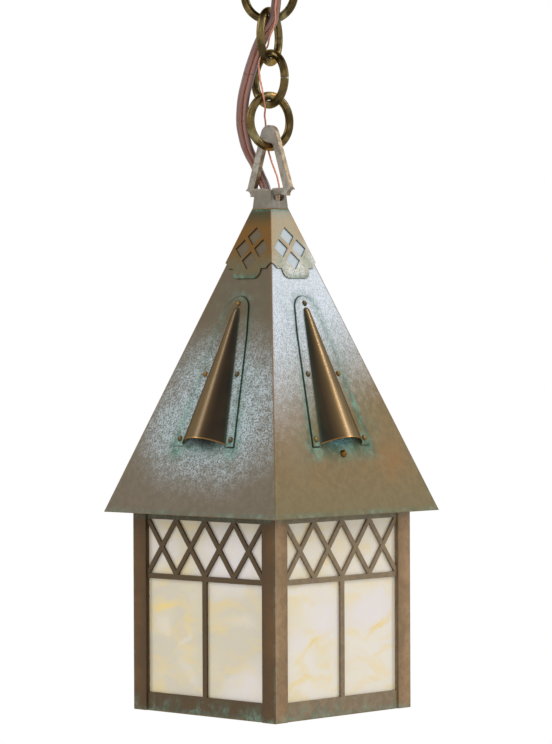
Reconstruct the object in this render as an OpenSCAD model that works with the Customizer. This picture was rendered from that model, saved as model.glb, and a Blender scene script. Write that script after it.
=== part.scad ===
// Square pendant lantern of sheet brass and copper, hung on round chain rings from a ceiling canopy.
// Units are millimetres. The origin is on the ceiling, at the middle of the canopy's screw holes.
// +Z is up, so the lantern hangs below it, and its glazed faces look along +-X and +-Y.

/* [Body] */
// Outside width of the square body over its corner posts
body_side = 127; // [110:1:150]
// Height of the body from its foot to the edge of the roof
body_h = 128; // [110:1:150]
// Width of each face of a corner post
post_face = 11.5; // [9:0.5:14]
// Thickness of the corner posts' sheet
post_t = 1.4; // [1:0.1:1.8]
// Thickness of the cut lattice panels
panel_t = 1.4; // [1:0.1:1.8]
// Height of a panel's bottom rail
bottom_rail_h = 12; // [8:0.5:16]
// Height of the panels' top rail that shows under the roof
top_rail_h = 4.1; // [3:0.1:8]
// Height of the rail between the windows and the lattice
mid_rail_h = 3.4; // [2.5:0.1:5]
// Height of the lattice band
lattice_h = 35; // [30:0.5:38]
// Width of the upright bar in the middle of a panel
mullion_w = 3.7; // [3:0.1:6]
// Width of the crossing lattice bars
lattice_bar_w = 3; // [2.2:0.1:4]
// Number of diamonds across a panel
lattice_count = 4; // [3:1:5]
// Height that the walls run up behind the edge of the roof
wall_rise = 6; // [4:0.5:9]

/* [Glass] */
// Thickness of the glass panes
glass_t = 2.8; // [2:0.1:3.2]
// Gap between a pane and the lattice panel in front of it
glass_gap = 0.2; // [0.1:0.05:0.4]
// Width of the ledge that the panes stand on
ledge_w = 9; // [7:0.5:12]
// Thickness of the ledge and of the frame at the top of the walls
frame_t = 1.4; // [1:0.1:2]
// Length of a bent glass clip along the wall
clip_w = 9; // [6:0.5:12]

/* [Roof] */
// Width of the square roof at its lower edge
eave_side = 153.6; // [145:0.2:165]
// Height from the roof's edge to the point where its faces would meet
roof_rise = 216.5; // [200:0.5:230]
// Thickness of the roof sheet
roof_t = 0.9; // [0.8:0.1:1.2]
// Height of the roof and its cap, from the roof's edge to the foot of the neck
roof_cut = 195.2; // [190:0.2:197]

/* [Cap] */
// Thickness of the pierced cap on the roof
cap_t = 0.9; // [0.7:0.1:2]
// Distance on the slope from the cap's top to its lowest edge
cap_len = 47.8; // [44:0.2:50]
// Depth of the cap's middle lobe below its shoulders, on the slope
lobe_drop = 6.8; // [5:0.2:9]
// Half width of the flat foot of the lobe
lobe_half = 7.3; // [5:0.1:8]
// Radius of the round corners of the lobe
lobe_r = 5; // [4:0.1:6]
// Radius of the round bite at each corner of the cap
bite_r = 6.8; // [5:0.1:8]
// Half diagonal of each pierced diamond
pierce_half = 6.2; // [4:0.05:6.4]
// Distance from the middle of the group to the middle of each pierced diamond
pierce_pitch = 8.3; // [7.8:0.1:8.6]
// Distance on the slope from the cap's top to the middle of the pierced group
pierce_down = 27.2; // [26:0.1:29]

/* [Neck] */
// Height of the square neck above the cap
neck_h = 12.2; // [10:0.2:16]
// Outside width of the neck at its foot
neck_foot = 16.4; // [16:0.1:17.4]
// Outside width of the neck at its rim
neck_rim = 14.2; // [13.6:0.1:15.5]
// Thickness of the neck's wall
neck_t = 1; // [0.8:0.05:1.1]
// Width of the slots in the neck where the bail passes
neck_slot_w = 10.2; // [8:0.2:10.6]
// Depth of those slots
neck_slot_d = 6.8; // [5:0.2:8]

/* [Bail] */
// Thickness of the bail plate
bail_t = 3.6; // [3:0.1:3.8]
// Metal above the bail's window
bail_crown = 11; // [8:0.2:13]
// Height from the neck's rim to the window's round top
bail_window_top = 31.5; // [28:0.5:36]
// Width of each sloping leg, measured level
bail_leg_w = 5.6; // [4.5:0.1:7]
// Sideways slope of the legs, in mm out for each mm down
bail_slope = 0.32; // [0.28:0.01:0.36]
// Height of the bail's lugs above the neck's rim
bail_lug_up = 1.6; // [1:0.1:2.4]

/* [Dormer hoods] */
// Half width of a hood's mouth on the roof
hood_half = 20.2; // [16:0.1:21.5]
// Height of the hood's crest over the roof at its mouth
hood_crest = 10.6; // [8:0.1:12]
// Distance on the slope from the mouth's feet to the cone's point
hood_len = 112.6; // [104:0.1:118]
// Distance on the slope from the roof's edge up to the mouth's feet
hood_up = 47; // [42:0.2:52]
// Radius of the hood's rounded tip
hood_tip_r = 5; // [3.4:0.1:5.6]
// Thickness of the hood's sheet
hood_t = 0.8; // [0.6:0.05:1]
// Angle at which the mouth is cut back at its crest
hood_rake = 8.5; // [0:0.5:15]
// Width of the flange round a hood at its mouth
flange_w = 6.1; // [5.5:0.1:8]
// Radius of the flange's round top
flange_r = 9.8; // [8:0.1:11]
// Thickness of the flange
flange_t = 0.8; // [0.6:0.05:1]
// Radius of the vent hole under each hood
vent_r = 7; // [5:0.5:9]
// Radius of the round rivet heads
rivet_r = 1.95; // [1.4:0.05:2.2]
// Radius of the rivets' shanks
rivet_shank_r = 0.9; // [0.6:0.05:1.1]

/* [Chain] */
// Outside diameter of a chain ring
ring_od = 38.5; // [36:0.1:42]
// Thickness of a chain ring's wire
ring_wire = 5.4; // [4.5:0.1:5.8]
// Gap left between two rings where they hang in each other
link_gap = 0.3; // [0.2:0.05:0.4]
// Width of the saw cut left in each ring
ring_cut = 0.4; // [0.2:0.1:1]

/* [Canopy] */
// Radius of the ceiling canopy
canopy_r = 60; // [50:1:70]
// Depth of the canopy
canopy_depth = 24; // [20:0.5:30]
// Thickness of the canopy's sheet
canopy_t = 1; // [0.8:0.1:1.6]
// Distance between the two ceiling screw holes
box_screw_pitch = 88.9; // [84:0.1:95]
// Radius of the ceiling screw holes
box_screw_r = 2.4; // [2:0.1:3]
// Thickness of the crossbar on the ceiling
crossbar_t = 2.5; // [2:0.1:4]
// Radius of the wire of the loop under the canopy
loop_wire_r = 2.8; // [2.4:0.1:3.2]
// Radius of the loop, to the middle of its wire
loop_r = 11; // [10:0.2:12.5]
// Radius of the loop's threaded stem
stem_r = 14; // [13:0.2:16]

/* [Lamp] */
// Radius of the threaded tube that carries the lampholder
nipple_r = 5; // [4.5:0.1:5.5]
// Radius of that tube's bore
nipple_bore_r = 4.1; // [4:0.05:4.3]
// Width of the strap that carries the lampholder
strap_w = 16; // [13:0.5:20]
// Thickness of that strap
strap_t = 1.6; // [1.2:0.1:2]
// Distance on the slope from the roof's edge up to the strap's screws
strap_up = 40.8; // [38:0.2:42]
// Radius of the lampholder
holder_r = 18; // [16:0.5:20]
// Length of the lampholder below its cap
holder_h = 40; // [34:1:46]
// Largest radius of the bulb
bulb_r = 30; // [22:1:32]
// Length of the bulb below the lampholder
bulb_drop = 80; // [70:1:84]

/* [Hidden] */
$fn = 48;
EPS = 0.01;
// Clearance between pieces that are fitted into each other
FIT = 0.1;
// Clearance between a pane or plate and what stands at its edge
SEAT = 0.05;

// Turn of each piece about the vertical axis, from +X, in the order in which they hang
LOOP_TURN = 119;
RING_TURNS = [29, 113, -11, 84];
// Height of each ring's saw cut on its circle, as an angle over level
RING_CUT_TURNS = [0, 50, 0, -65];
RING_TINTS = ["#6f6442", "#7a6c45", "#6a5f40", "#75684a"];

// Chain, from the ceiling down
ring_r = (ring_od - ring_wire) / 2;
wire_r = ring_wire / 2;
stem_bottom = -(canopy_depth + 6);
loop_sink = 5;
loop_z = stem_bottom - loop_sink;
ring_pitch = 2 * ring_r - 2 * wire_r - link_gap;
first_ring_z = loop_z - loop_r + loop_wire_r + wire_r + link_gap - ring_r;
function ring_z(i) = first_ring_z - i * ring_pitch;
last_wire_z = ring_z(3) - ring_r;

// Heights of the lantern, counted from the foot of its body
eave_z = body_h;
neck_z = eave_z + roof_cut;
rim_z = neck_z + neck_h;
window_top_z = rim_z + bail_window_top;
// The round top of the bail's window hangs on the last ring's wire, which curves up through it
body_z = last_wire_z + wire_r + link_gap + 0.15 - window_top_z;

// Roof slope
eave_half = eave_side / 2;
apex_z = eave_z + roof_rise;
roof_run = eave_half / roof_rise;
roof_slope = atan(roof_run);
face_len = roof_rise / cos(roof_slope);
roof_inset = roof_t / cos(roof_slope);
function roof_half(z) = (apex_z - z) * roof_run;
function roof_inner(z) = roof_half(z) - roof_inset;

// Body, from its outside in
body_half = body_side / 2;
panel_face = body_half - post_t;
panel_back = panel_face - panel_t;
glass_face = panel_back - glass_gap;
glass_back = glass_face - glass_t;
wall_top = body_h + wall_rise;
window_z = bottom_rail_h;
window_h = body_h - bottom_rail_h - mid_rail_h - lattice_h - top_rail_h;
mid_rail_z = window_z + window_h;
lattice_z = mid_rail_z + mid_rail_h;
lattice_top = lattice_z + lattice_h;
opening_half = body_half - post_face - 0.4;

// Neck
function neck_half(z) = (neck_foot + (neck_rim - neck_foot) * (z - neck_z) / neck_h) / 2;

// Hood cone, from its mouth's width and crest
hood_spread = atan(hood_half / hood_len);
hood_lift = atan(hood_crest / hood_len);
hood_tilt = atan((cos(hood_lift) - cos(hood_spread)) / sin(hood_lift));
hood_angle = hood_tilt + hood_lift;
hood_point = hood_up + hood_len;
hood_tip_run = hood_tip_r / sin(hood_angle);
flange_half = hood_half + flange_w;
flange_low = hood_up - 1;
flange_top = hood_point - hood_tip_run + hood_tip_r + 6.2;

// Rivets on each hood's flange, as [sideways, up the slope]
rivet_mid_up = hood_up + 47.3;
function hood_half_at(up) = (hood_point - up) * tan(hood_spread);
rivet_low_up = hood_up + 3.6;
RIVETS = [
    [0, flange_top - 5.1],
    for (s = [-1, 1]) [s * (hood_half_at(rivet_mid_up) + 2.5), rivet_mid_up],
    for (s = [-1, 1]) [s * (hood_half_at(rivet_low_up) + 3.1), rivet_low_up]
];

// Strap and lamp
strap_screw_z = eave_z + strap_up * cos(roof_slope);
strap_z = strap_screw_z - 11;
strap_tab = 16;
screw_r = 1.2;
holder_cap_h = 14;
nut_h = 3;
holder_top = strap_z - nut_h;
holder_z = holder_top - holder_cap_h;
socket_z = holder_z - holder_h;
shell_r = 13.4;
bulb_base_r = 13;

// Cord and ground wire
CORD_R = 1.9;
CORD_PAIR = 1.95;
GROUND_R = 0.65;
CORD_SIDES = 8;
// Middle of the two conductors, as [x, y, z, direction that the pair faces], with z counted from the foot
// of the body, as drawn
ROUTE_FOOT = 519.5;
CORD_ROUTE = [
    [20, -20, 505, -46], [20, -20, 494, -46], [18, -16.8, 485, -40],
    [14.6, -11.2, 476, -25], [11.1, -5.8, 467, -10], [9, -2.9, 459, 5.1],
    [8.3, -3.3, 452.1, 4.9], [7, -4.1, 445.5, 0.6], [4, -5.5, 440.3, -14.5],
    [0.4, -6.4, 435, -31.7], [-3.3, -6.8, 429, -46], [-6.4, -7.5, 422, -46],
    [-9, -8.7, 414, -46], [-10.8, -10, 406, -46], [-12.4, -11.6, 396, -46],
    [-13.2, -12.1, 387, -46], [-14, -11.4, 378.5, -49.9], [-14.9, -8.6, 371, -55.9],
    [-16.6, -4.4, 364.6, -62], [-17.9, 0.4, 359.2, -69.9], [-17.2, 3.6, 354.2, -82],
    [-15.2, 4.4, 349.3, -89.9], [-12.3, 4.2, 344.3, -90], [-9.3, 4.1, 339.9, -94.4],
    [-7.1, 4, 334.7, -90.3], [-3.6, 3.9, 328.6, -89.8], [-2.4, 3.9, 324.4, -89.9],
    [-2, 3.9, 319, -90.2], [-1.8, 3, 305, -90], [-0.7, 1.3, 280, -90],
    [0, 0, 240, -90], [0, 0, 200, -90]
];
GROUND_ROUTE = [
    [22, -22, 505], [22, -22, 495], [20.6, -19.6, 486], [17.8, -14.8, 477], [14.8, -9.8, 468],
    [12.4, -6.5, 458.9], [11.5, -6.6, 451.6], [10.3, -5.5, 445], [8.6, -6.1, 439.1], [6.2, -6.6, 433.9],
    [3.9, -5.8, 429], [1.1, -6.3, 425], [-1.6, -7.7, 420], [-2, -7.8, 412], [-0.3, -7.9, 404.5],
    [2.3, -9, 398.5], [3.1, -8.6, 393.5], [1.7, -6.2, 388.8], [-2.5, -2.4, 384.5], [-6.5, 2.6, 379.5],
    [-7.5, 3.4, 371], [-5, 3.8, 361.5], [-1.5, 4, 352.5], [2.4, 3.8, 345], [4.4, 3.4, 339.5],
    [4.8, 3.4, 333], [4.8, 3.4, 324], [7, 3, 280], [14, 1.4, 190], [16.8, 0.6, 168]
];

// Vector helpers for the cord tubes
function unit(v) = v / norm(v);
function tangent(p, i) = unit(p[min(i + 1, len(p) - 1)] - p[max(i - 1, 0)]);

// Closed tube swept along points, with flat ends
module tube(points, radius) {
    n = len(points);
    rows = [
        for (i = [0:n - 1])
            let (
                t = tangent(points, i),
                a = unit(cross(t, [0.36, 0.93, 0.05])),
                b = cross(t, a)
            )
            for (k = [0:CORD_SIDES - 1])
                points[i] + radius * (cos(360 * k / CORD_SIDES) * a + sin(360 * k / CORD_SIDES) * b)
    ];
    walls = [
        for (i = [0:n - 2], k = [0:CORD_SIDES - 1])
            let (k2 = (k + 1) % CORD_SIDES)
            [i * CORD_SIDES + k, (i + 1) * CORD_SIDES + k, (i + 1) * CORD_SIDES + k2, i * CORD_SIDES + k2]
    ];
    start_cap = [for (k = [0:CORD_SIDES - 1]) k];
    end_cap = [for (k = [CORD_SIDES - 1:-1:0]) (n - 1) * CORD_SIDES + k];
    polyhedron(rows, concat(walls, [start_cap, end_cap]));
}

// Square pyramid slice with flat faces, from half width half0 at z0 to half1 at z1
module pyramid(z0, half0, z1, half1) {
    intersection() {
        rotate([90, 0, 0])
            pyramid_side(z0, half0, z1, half1);
        rotate([90, 0, 90])
            pyramid_side(z0, half0, z1, half1);
    }
}

module pyramid_side(z0, half0, z1, half1) {
    linear_extrude(3 * half0 + 3 * half1, center = true)
        polygon([[-half0, z0], [half0, z0], [half1, z1], [-half1, z1]]);
}

// Puts a piece of the lantern, drawn from the foot of its body, at its place under the chain
module hung() {
    translate([0, 0, body_z])
        children();
}

// Turns a piece drawn for the front, with the outside at -Y, to one of the four sides
module side(i) {
    rotate([0, 0, 90 * i])
        children();
}

// Plane of one roof face: x sideways, y up the slope from the roof's edge, z out of the roof
module on_roof(i) {
    side(i)
        translate([0, -eave_half, eave_z])
            rotate([90 - roof_slope, 0, 0])
                children();
}

// Plane of one wall: x sideways, y up, z out, with z = 0 at a distance from the axis
module on_wall(i, distance) {
    side(i)
        translate([0, -distance, 0])
            rotate([90, 0, 0])
                children();
}

// Quarter of space that belongs to one side
module sector(i) {
    side(i)
        translate([0, 0, eave_z - 10])
            linear_extrude(roof_rise + 40)
                polygon([[0, 0], [-2 * eave_half, -2 * eave_half], [2 * eave_half, -2 * eave_half]]);
}

module ring(radius, wire, tint) {
    color(tint)
        rotate([90, 0, 0])
            rotate_extrude($fn = 72)
                translate([radius, 0])
                    circle(wire, $fn = 24);
}

// Chain ring, with its saw cut
module chain_ring(i) {
    translate([0, 0, ring_z(i)])
        rotate([0, 0, RING_TURNS[i]])
            difference() {
                ring(ring_r, wire_r, RING_TINTS[i]);
                rotate([0, -RING_CUT_TURNS[i], 0])
                    translate([ring_r, 0, 0])
                        cube([3 * ring_wire, 3 * ring_wire, ring_cut], center = true);
            }
}

module chain_ring_1() {
    chain_ring(0);
}

module chain_ring_2() {
    chain_ring(1);
}

module chain_ring_3() {
    chain_ring(2);
}

module chain_ring_4() {
    chain_ring(3);
}

// Ceiling fitting
module ceiling_crossbar() {
    color("#8f8b80")
        translate([0, 0, -crossbar_t])
            difference() {
                linear_extrude(crossbar_t)
                    square([box_screw_pitch + 13, 16], center = true);
                for (x = [-box_screw_pitch / 2, 0, box_screw_pitch / 2])
                    translate([x, 0, -1])
                        cylinder(crossbar_t + 2, r = x == 0 ? nipple_r + SEAT : box_screw_r);
            }
}

module hex_nut(bore, across, height) {
    difference() {
        cylinder(height, r = across / 2 / cos(30), $fn = 6);
        translate([0, 0, -1])
            cylinder(height + 2, r = bore);
    }
}

nipple_top_len = canopy_depth - 5;
module canopy_nipple() {
    color("#a08c5a")
        translate([0, 0, -nipple_top_len])
            difference() {
                cylinder(nipple_top_len, r = nipple_r);
                translate([0, 0, -1])
                    cylinder(nipple_top_len + 2, r = nipple_bore_r);
            }
}

module nipple_locknut() {
    color("#8f8b80")
        translate([0, 0, -crossbar_t - nut_h])
            hex_nut(nipple_r + SEAT, 14, nut_h);
}

BUSH_AT = [20, -20];
bush_r = 6.4;
bush_bore_r = 5.2;
// Half section of the canopy's outside, from its middle to its rim
CANOPY_CURVE = [
    for (a = [0:15:90]) [canopy_r - 22 + 22 * sin(a), -canopy_depth + (canopy_depth - 3) * (1 - cos(a))]
];
CANOPY_INNER = [
    for (a = [90:-15:0]) [
        canopy_r - 22 + (22 - canopy_t) * sin(a),
        -canopy_depth + canopy_t + (canopy_depth - 3 - canopy_t) * (1 - cos(a))
    ]
];
module canopy() {
    color("#6d5a40")
        difference() {
            rotate_extrude($fn = 72)
                polygon(concat(
                    [[stem_r + 0.3, -canopy_depth]],
                    CANOPY_CURVE,
                    [[canopy_r, 0], [canopy_r - canopy_t, 0]],
                    CANOPY_INNER,
                    [[stem_r + 0.3, -canopy_depth + canopy_t]]
                ));
            translate([BUSH_AT[0], BUSH_AT[1], -canopy_depth - 1])
                cylinder(canopy_t + 2, r = bush_r + FIT);
        }
}

module cord_bushing() {
    color("#2f2b27")
        translate([BUSH_AT[0], BUSH_AT[1], -canopy_depth])
            rotate_extrude()
                polygon([
                    [bush_bore_r, -1.2], [bush_bore_r + 0.8, -1.8],
                    [bush_r + 1.2, -1.8], [bush_r + 1.6, -1.4],
                    [bush_r + 1.6, 0], [bush_r, 0], [bush_r, canopy_t + 0.3], [bush_r + 0.8, canopy_t + 0.3],
                    [bush_r, canopy_t + 2], [bush_bore_r, canopy_t + 2]
                ]);
}

module loop_stem() {
    color("#746246")
        difference() {
            union() {
                translate([0, 0, stem_bottom])
                    cylinder(canopy_depth + 6 - 10, r = stem_r);
                translate([0, 0, loop_z])
                    rotate([0, 0, LOOP_TURN])
                        ring(loop_r, loop_wire_r, "#746246");
            }
            translate([0, 0, -nipple_top_len - 0.5])
                cylinder(canopy_depth, r = nipple_r + SEAT);
        }
}

module collar_nut() {
    color("#7d6a48")
        translate([0, 0, -canopy_depth - 4])
            difference() {
                cylinder(4, r = stem_r + 4);
                translate([0, 0, -1])
                    cylinder(6, r = stem_r + FIT);
                for (a = [0:30:330])
                    rotate([0, 0, a])
                        translate([stem_r + 4.6, 0, -1])
                            cylinder(6, r = 1.2, $fn = 24);
            }
}

// Bail
bail_top_z = window_top_z + bail_crown;
crown_r = 6.9;
window_r = 4.8;
bail_angle = atan(bail_slope);
window_c = window_top_z - window_r;
leg_from = [window_r * cos(bail_angle), window_c + window_r * sin(bail_angle)];
outer_from = [crown_r * cos(bail_angle), bail_top_z - crown_r + crown_r * sin(bail_angle)];
function leg_inner(z) = leg_from[0] + (leg_from[1] - z) * bail_slope;
foot_z = rim_z + 2;
leg_outer_x = leg_inner(foot_z) + bail_leg_w + 0.4;
lug_z = rim_z + bail_lug_up;
lug_in = 4.4;
slot_z = rim_z - neck_slot_d;
cord_room = bail_t / 2 + 2 * CORD_R + 0.4;
tongue_top = rim_z - 6.4;
tongue_low = neck_z + 0.9;
function tongue_half(z) = neck_half(z) - neck_t - SEAT;

// Outline with its mirror image added, so that it closes
function both(half) = concat(half, [for (i = [len(half) - 1:-1:0]) [-half[i][0], half[i][1]]]);
BAIL_OUTLINE = both(concat(
    [for (a = [84:-12:bail_angle + 4]) [crown_r * cos(a), bail_top_z - crown_r + crown_r * sin(a)]],
    [outer_from, [leg_outer_x, foot_z]],
    [[leg_outer_x + 1.5, foot_z - 1.3], [leg_outer_x + 1.2, foot_z - 1.8]],
    [for (a = [105:17:190]) [leg_outer_x + 0.9 + 3.6 * cos(a), foot_z - 5.1 + 3.4 * sin(a)]],
    [[leg_outer_x - 4.4, foot_z - 5.4], [neck_half(slot_z) + 1, slot_z + 4.4]],
    [[tongue_half(slot_z), slot_z + 4], [tongue_half(slot_z), slot_z]],
    [[tongue_half(tongue_low), tongue_low]]
));
BAIL_WINDOW = both(concat(
    [for (a = [84:-12:bail_angle + 4]) [window_r * cos(a), window_c + window_r * sin(a)]],
    [leg_from, [leg_inner(lug_z), lug_z]],
    [for (a = [90:22.5:270]) [lug_in + 1.9 * cos(a), lug_z - 1.9 + 1.9 * sin(a)]],
    [[lug_in, tongue_top]]
));
module hanger_bail() {
    color("#75695a")
        hung()
            rotate([90, 0, 0])
                linear_extrude(bail_t, center = true)
                    difference() {
                        polygon(BAIL_OUTLINE);
                        polygon(BAIL_WINDOW);
                    }
}

// Neck, with a slot on each side where the bail passes
module neck() {
    slot_r = 3;
    color("#6b6258")
        hung()
            difference() {
                pyramid(neck_z, neck_half(neck_z), rim_z, neck_half(rim_z));
                pyramid(neck_z - 1, neck_half(neck_z - 1) - neck_t, rim_z + 1, neck_half(rim_z + 1) - neck_t);
                rotate([90, 0, 90])
                    linear_extrude(4 * neck_foot, center = true)
                        union() {
                            translate([-neck_slot_w / 2, slot_z + slot_r])
                                square([neck_slot_w, neck_slot_d]);
                            translate([-neck_slot_w / 2 + slot_r, slot_z])
                                square([neck_slot_w - 2 * slot_r, neck_slot_d]);
                            for (s = [-1, 1])
                                translate([s * (neck_slot_w / 2 - slot_r), slot_z + slot_r])
                                    circle(slot_r);
                        }
                // Room behind the bail, where the cord goes in over the rim
                translate([-neck_foot, 0, slot_z - 2.8])
                    cube([neck_foot - neck_rim / 4, cord_room, neck_h]);
            }
}

// Pierced cap on the top of the roof
cap_top_up = (neck_z - eave_z) / cos(roof_slope);
cap_low_z = eave_z + (cap_top_up - cap_len) * cos(roof_slope);
function cap_half(z) = roof_half(z) + cap_t / cos(roof_slope);
shoulder_len = cap_len - lobe_drop;
bite_down = shoulder_len + bite_r * 0.36;
bite_hip = cap_half(eave_z + (cap_top_up - bite_down) * cos(roof_slope));

// Outline of one face of the cap, with y down the slope from the cap's top counted negative
module cap_outline() {
    difference() {
        union() {
            translate([-30, -shoulder_len])
                square([60, shoulder_len + 5]);
            polygon(concat(
                [[lobe_half + lobe_r, -shoulder_len + 1], [-lobe_half - lobe_r, -shoulder_len + 1]],
                [for (a = [180:15:270]) [-lobe_half + lobe_r * cos(a), -cap_len + lobe_r + lobe_r * sin(a)]],
                [for (a = [270:15:360]) [lobe_half + lobe_r * cos(a), -cap_len + lobe_r + lobe_r * sin(a)]]
            ));
        }
        for (s = [-1, 1])
            translate([s * bite_hip, -bite_down])
                circle(bite_r);
        for (p = [[-1, 0], [1, 0], [0, -1], [0, 1]])
            translate([p[0] * pierce_pitch, p[1] * pierce_pitch - pierce_down])
                circle(pierce_half, $fn = 4);
    }
}

// Four mitred plates, one on each face of the roof
module roof_cap() {
    color("#8d6f50")
        hung()
            union()
                for (i = [0:3])
                    intersection() {
                        sector(i);
                        on_roof(i)
                            translate([0, cap_top_up, 0])
                                linear_extrude(cap_t)
                                    cap_outline();
                        translate([0, 0, eave_z])
                            linear_extrude(neck_z - eave_z)
                                square(eave_side, center = true);
                    }
}

// Roof, with the holes that its hoods and fixings need
module roof_shell() {
    color("#7a6a55")
        hung()
            difference() {
                pyramid(eave_z, roof_half(eave_z), neck_z, roof_half(neck_z));
                pyramid(eave_z - 1, roof_inner(eave_z - 1), neck_z + 1, roof_inner(neck_z + 1));
                for (i = [0:3])
                    on_roof(i) {
                        translate([0, hood_up + 25, -10])
                            cylinder(20, r = vent_r);
                        rivet_holes(rivet_shank_r + FIT);
                    }
                for (i = [1, 3])
                    on_roof(i)
                        translate([0, strap_up, -5])
                            cylinder(10, r = screw_r + FIT, $fn = 24);
            }
}

module rivet_holes(radius) {
    for (p = RIVETS)
        translate([p[0], p[1], -5])
            cylinder(10, r = radius, $fn = 16);
}

// Cone about the hood's axis, from its point
module hood_cone(r0) {
    long = (hood_len + 14) / cos(hood_tilt);
    tip = hood_tip_run - r0 * sin(hood_angle);
    tip_step = (90 - hood_angle) / 6;
    translate([0, hood_point, 0])
        rotate([90 + hood_tilt, 0, 0])
            rotate_extrude($fn = 72)
                polygon(concat(
                    [[0, hood_tip_run - r0]],
                    [for (k = [1:5]) [r0 * sin(k * tip_step), hood_tip_run - r0 * cos(k * tip_step)]],
                    [
                        [r0 * cos(hood_angle), tip],
                        [r0 * cos(hood_angle) + (long - tip) * tan(hood_angle), long],
                        [0, long]
                    ]
                ));
}

module flange_outline() {
    shoulder = hood_up + 0.657 * hood_len;
    shoulder_half = hood_half_at(shoulder) + flange_w + 0.8;
    polygon(concat(
        [[-flange_half, flange_low], [flange_half, flange_low], [shoulder_half, shoulder]],
        [for (a = [15:15:165]) [flange_r * cos(a), flange_top - flange_r + flange_r * sin(a)]],
        [[-shoulder_half, shoulder]]
    ));
}

// Dormer hood with its flange
module hood(i, tint) {
    color(tint)
        hung()
            on_roof(i)
                difference() {
                    union() {
                        linear_extrude(flange_t)
                            flange_outline();
                        intersection() {
                            hood_cone(hood_tip_r);
                            rotate([90, 0, 90])
                                linear_extrude(4 * hood_half, center = true)
                                    polygon([
                                        [hood_up, 0], [hood_point + 5, 0], [hood_point + 5, 40],
                                        [hood_up + 40 * tan(hood_rake), 40]
                                    ]);
                        }
                    }
                    hood_cone(hood_tip_r - hood_t);
                    rivet_holes(rivet_shank_r + FIT);
                }
}

module hood_front() {
    hood(0, "#7c6345");
}

module hood_right() {
    hood(1, "#8b6d4a");
}

module hood_back() {
    hood(2, "#7c6345");
}

module hood_left() {
    hood(3, "#7c6345");
}

// Rivets, with round heads outside and flat tails inside the roof
module hood_rivets() {
    color("#b08d4a")
        hung()
            for (i = [0:3], p = RIVETS)
                on_roof(i)
                    translate([p[0], p[1], 0])
                        rotate_extrude($fn = 20)
                            polygon([
                                [0, -roof_t - 0.5], [rivet_r - 0.3, -roof_t - 0.5], [rivet_r - 0.3, -roof_t],
                                [rivet_shank_r, -roof_t], [rivet_shank_r, flange_t], [rivet_r, flange_t],
                                [rivet_r * 0.92, flange_t + 0.45], [rivet_r * 0.62, flange_t + 0.85],
                                [0, flange_t + 1.05]
                            ]);
}

// Body
module corner_post(i, tint) {
    color(tint)
        hung()
            side(i)
                linear_extrude(wall_top)
                    polygon([
                        [body_half, -body_half], [body_half, -body_half + post_face],
                        [body_half - post_t, -body_half + post_face],
                        [body_half - post_t, -body_half + post_t],
                        [body_half - post_face, -body_half + post_t], [body_half - post_face, -body_half]
                    ]);
}

module corner_post_1() {
    corner_post(0, "#96714d");
}

module corner_post_2() {
    corner_post(1, "#7d6248");
}

module corner_post_3() {
    corner_post(2, "#6d5640");
}

module corner_post_4() {
    corner_post(3, "#5e4b38");
}

lattice_pitch = 2 * opening_half / lattice_count;
panel_half = panel_back - FIT;
lattice_mid_z = lattice_z + lattice_h / 2;
lattice_slope = lattice_h / lattice_pitch;
bar_up = lattice_bar_w / 2 / cos(atan(lattice_slope));
bar_across = bar_up / lattice_slope;
hole_half = lattice_pitch / 2 - bar_across;
hole_rise = lattice_h / 2 - bar_up;

// Openings between the crossing bars: a triangle over and under each crossing, diamonds between crossings,
// and half a diamond at each end
module lattice_holes() {
    for (k = [0:lattice_count - 1], s = [-1, 1])
        translate([(k + 0.5) * lattice_pitch - opening_half, lattice_mid_z])
            polygon([[0, s * bar_up], [hole_half, s * lattice_h / 2], [-hole_half, s * lattice_h / 2]]);
    for (k = [1:lattice_count - 1])
        translate([k * lattice_pitch - opening_half, lattice_mid_z])
            polygon([[0, -hole_rise], [hole_half, 0], [0, hole_rise], [-hole_half, 0]]);
    for (s = [-1, 1])
        translate([s * opening_half, lattice_mid_z])
            polygon([[0, -hole_rise], [0, hole_rise], [-s * hole_half, 0]]);
}

module lattice_panel(i, tint) {
    color(tint)
        hung()
            on_wall(i, panel_back)
                linear_extrude(panel_t)
                    difference() {
                        translate([-panel_half, 0])
                            square([2 * panel_half, wall_top]);
                        for (s = [0, 1])
                            translate([s * (opening_half + mullion_w / 2) - opening_half, window_z])
                                square([opening_half - mullion_w / 2, window_h]);
                        lattice_holes();
                    }
}

module lattice_front() {
    lattice_panel(0, "#5c4830");
}

module lattice_right() {
    lattice_panel(1, "#785f48");
}

module lattice_back() {
    lattice_panel(2, "#5c4830");
}

module lattice_left() {
    lattice_panel(3, "#5c4830");
}

glass_half = glass_back - 0.2;
glass_top = wall_top - 1;
module glass(i, tint) {
    color(tint, 0.85)
        hung()
            on_wall(i, glass_back)
                linear_extrude(glass_t)
                    translate([-glass_half, frame_t])
                        square([2 * glass_half, glass_top - frame_t]);
}

module glass_front() {
    glass(0, "#e1dac8");
}

module glass_right() {
    glass(1, "#e9e4d8");
}

module glass_back() {
    glass(2, "#e1dac8");
}

module glass_left() {
    glass(3, "#e1dac8");
}

// Square frame soldered into the roof, which stands on the walls
top_frame_inner = glass_back - 3;
module top_frame() {
    color("#6e5a44")
        hung()
            difference() {
                pyramid(wall_top, roof_inner(wall_top), wall_top + frame_t, roof_inner(wall_top + frame_t));
                translate([0, 0, wall_top + frame_t / 2])
                    cube([2 * top_frame_inner, 2 * top_frame_inner, 4 * frame_t], center = true);
            }
}

module bottom_ledge() {
    color("#5e4b38")
        hung()
            linear_extrude(frame_t)
                difference() {
                    square(2 * panel_back, center = true);
                    square(2 * (panel_back - ledge_w), center = true);
                }
}

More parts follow.
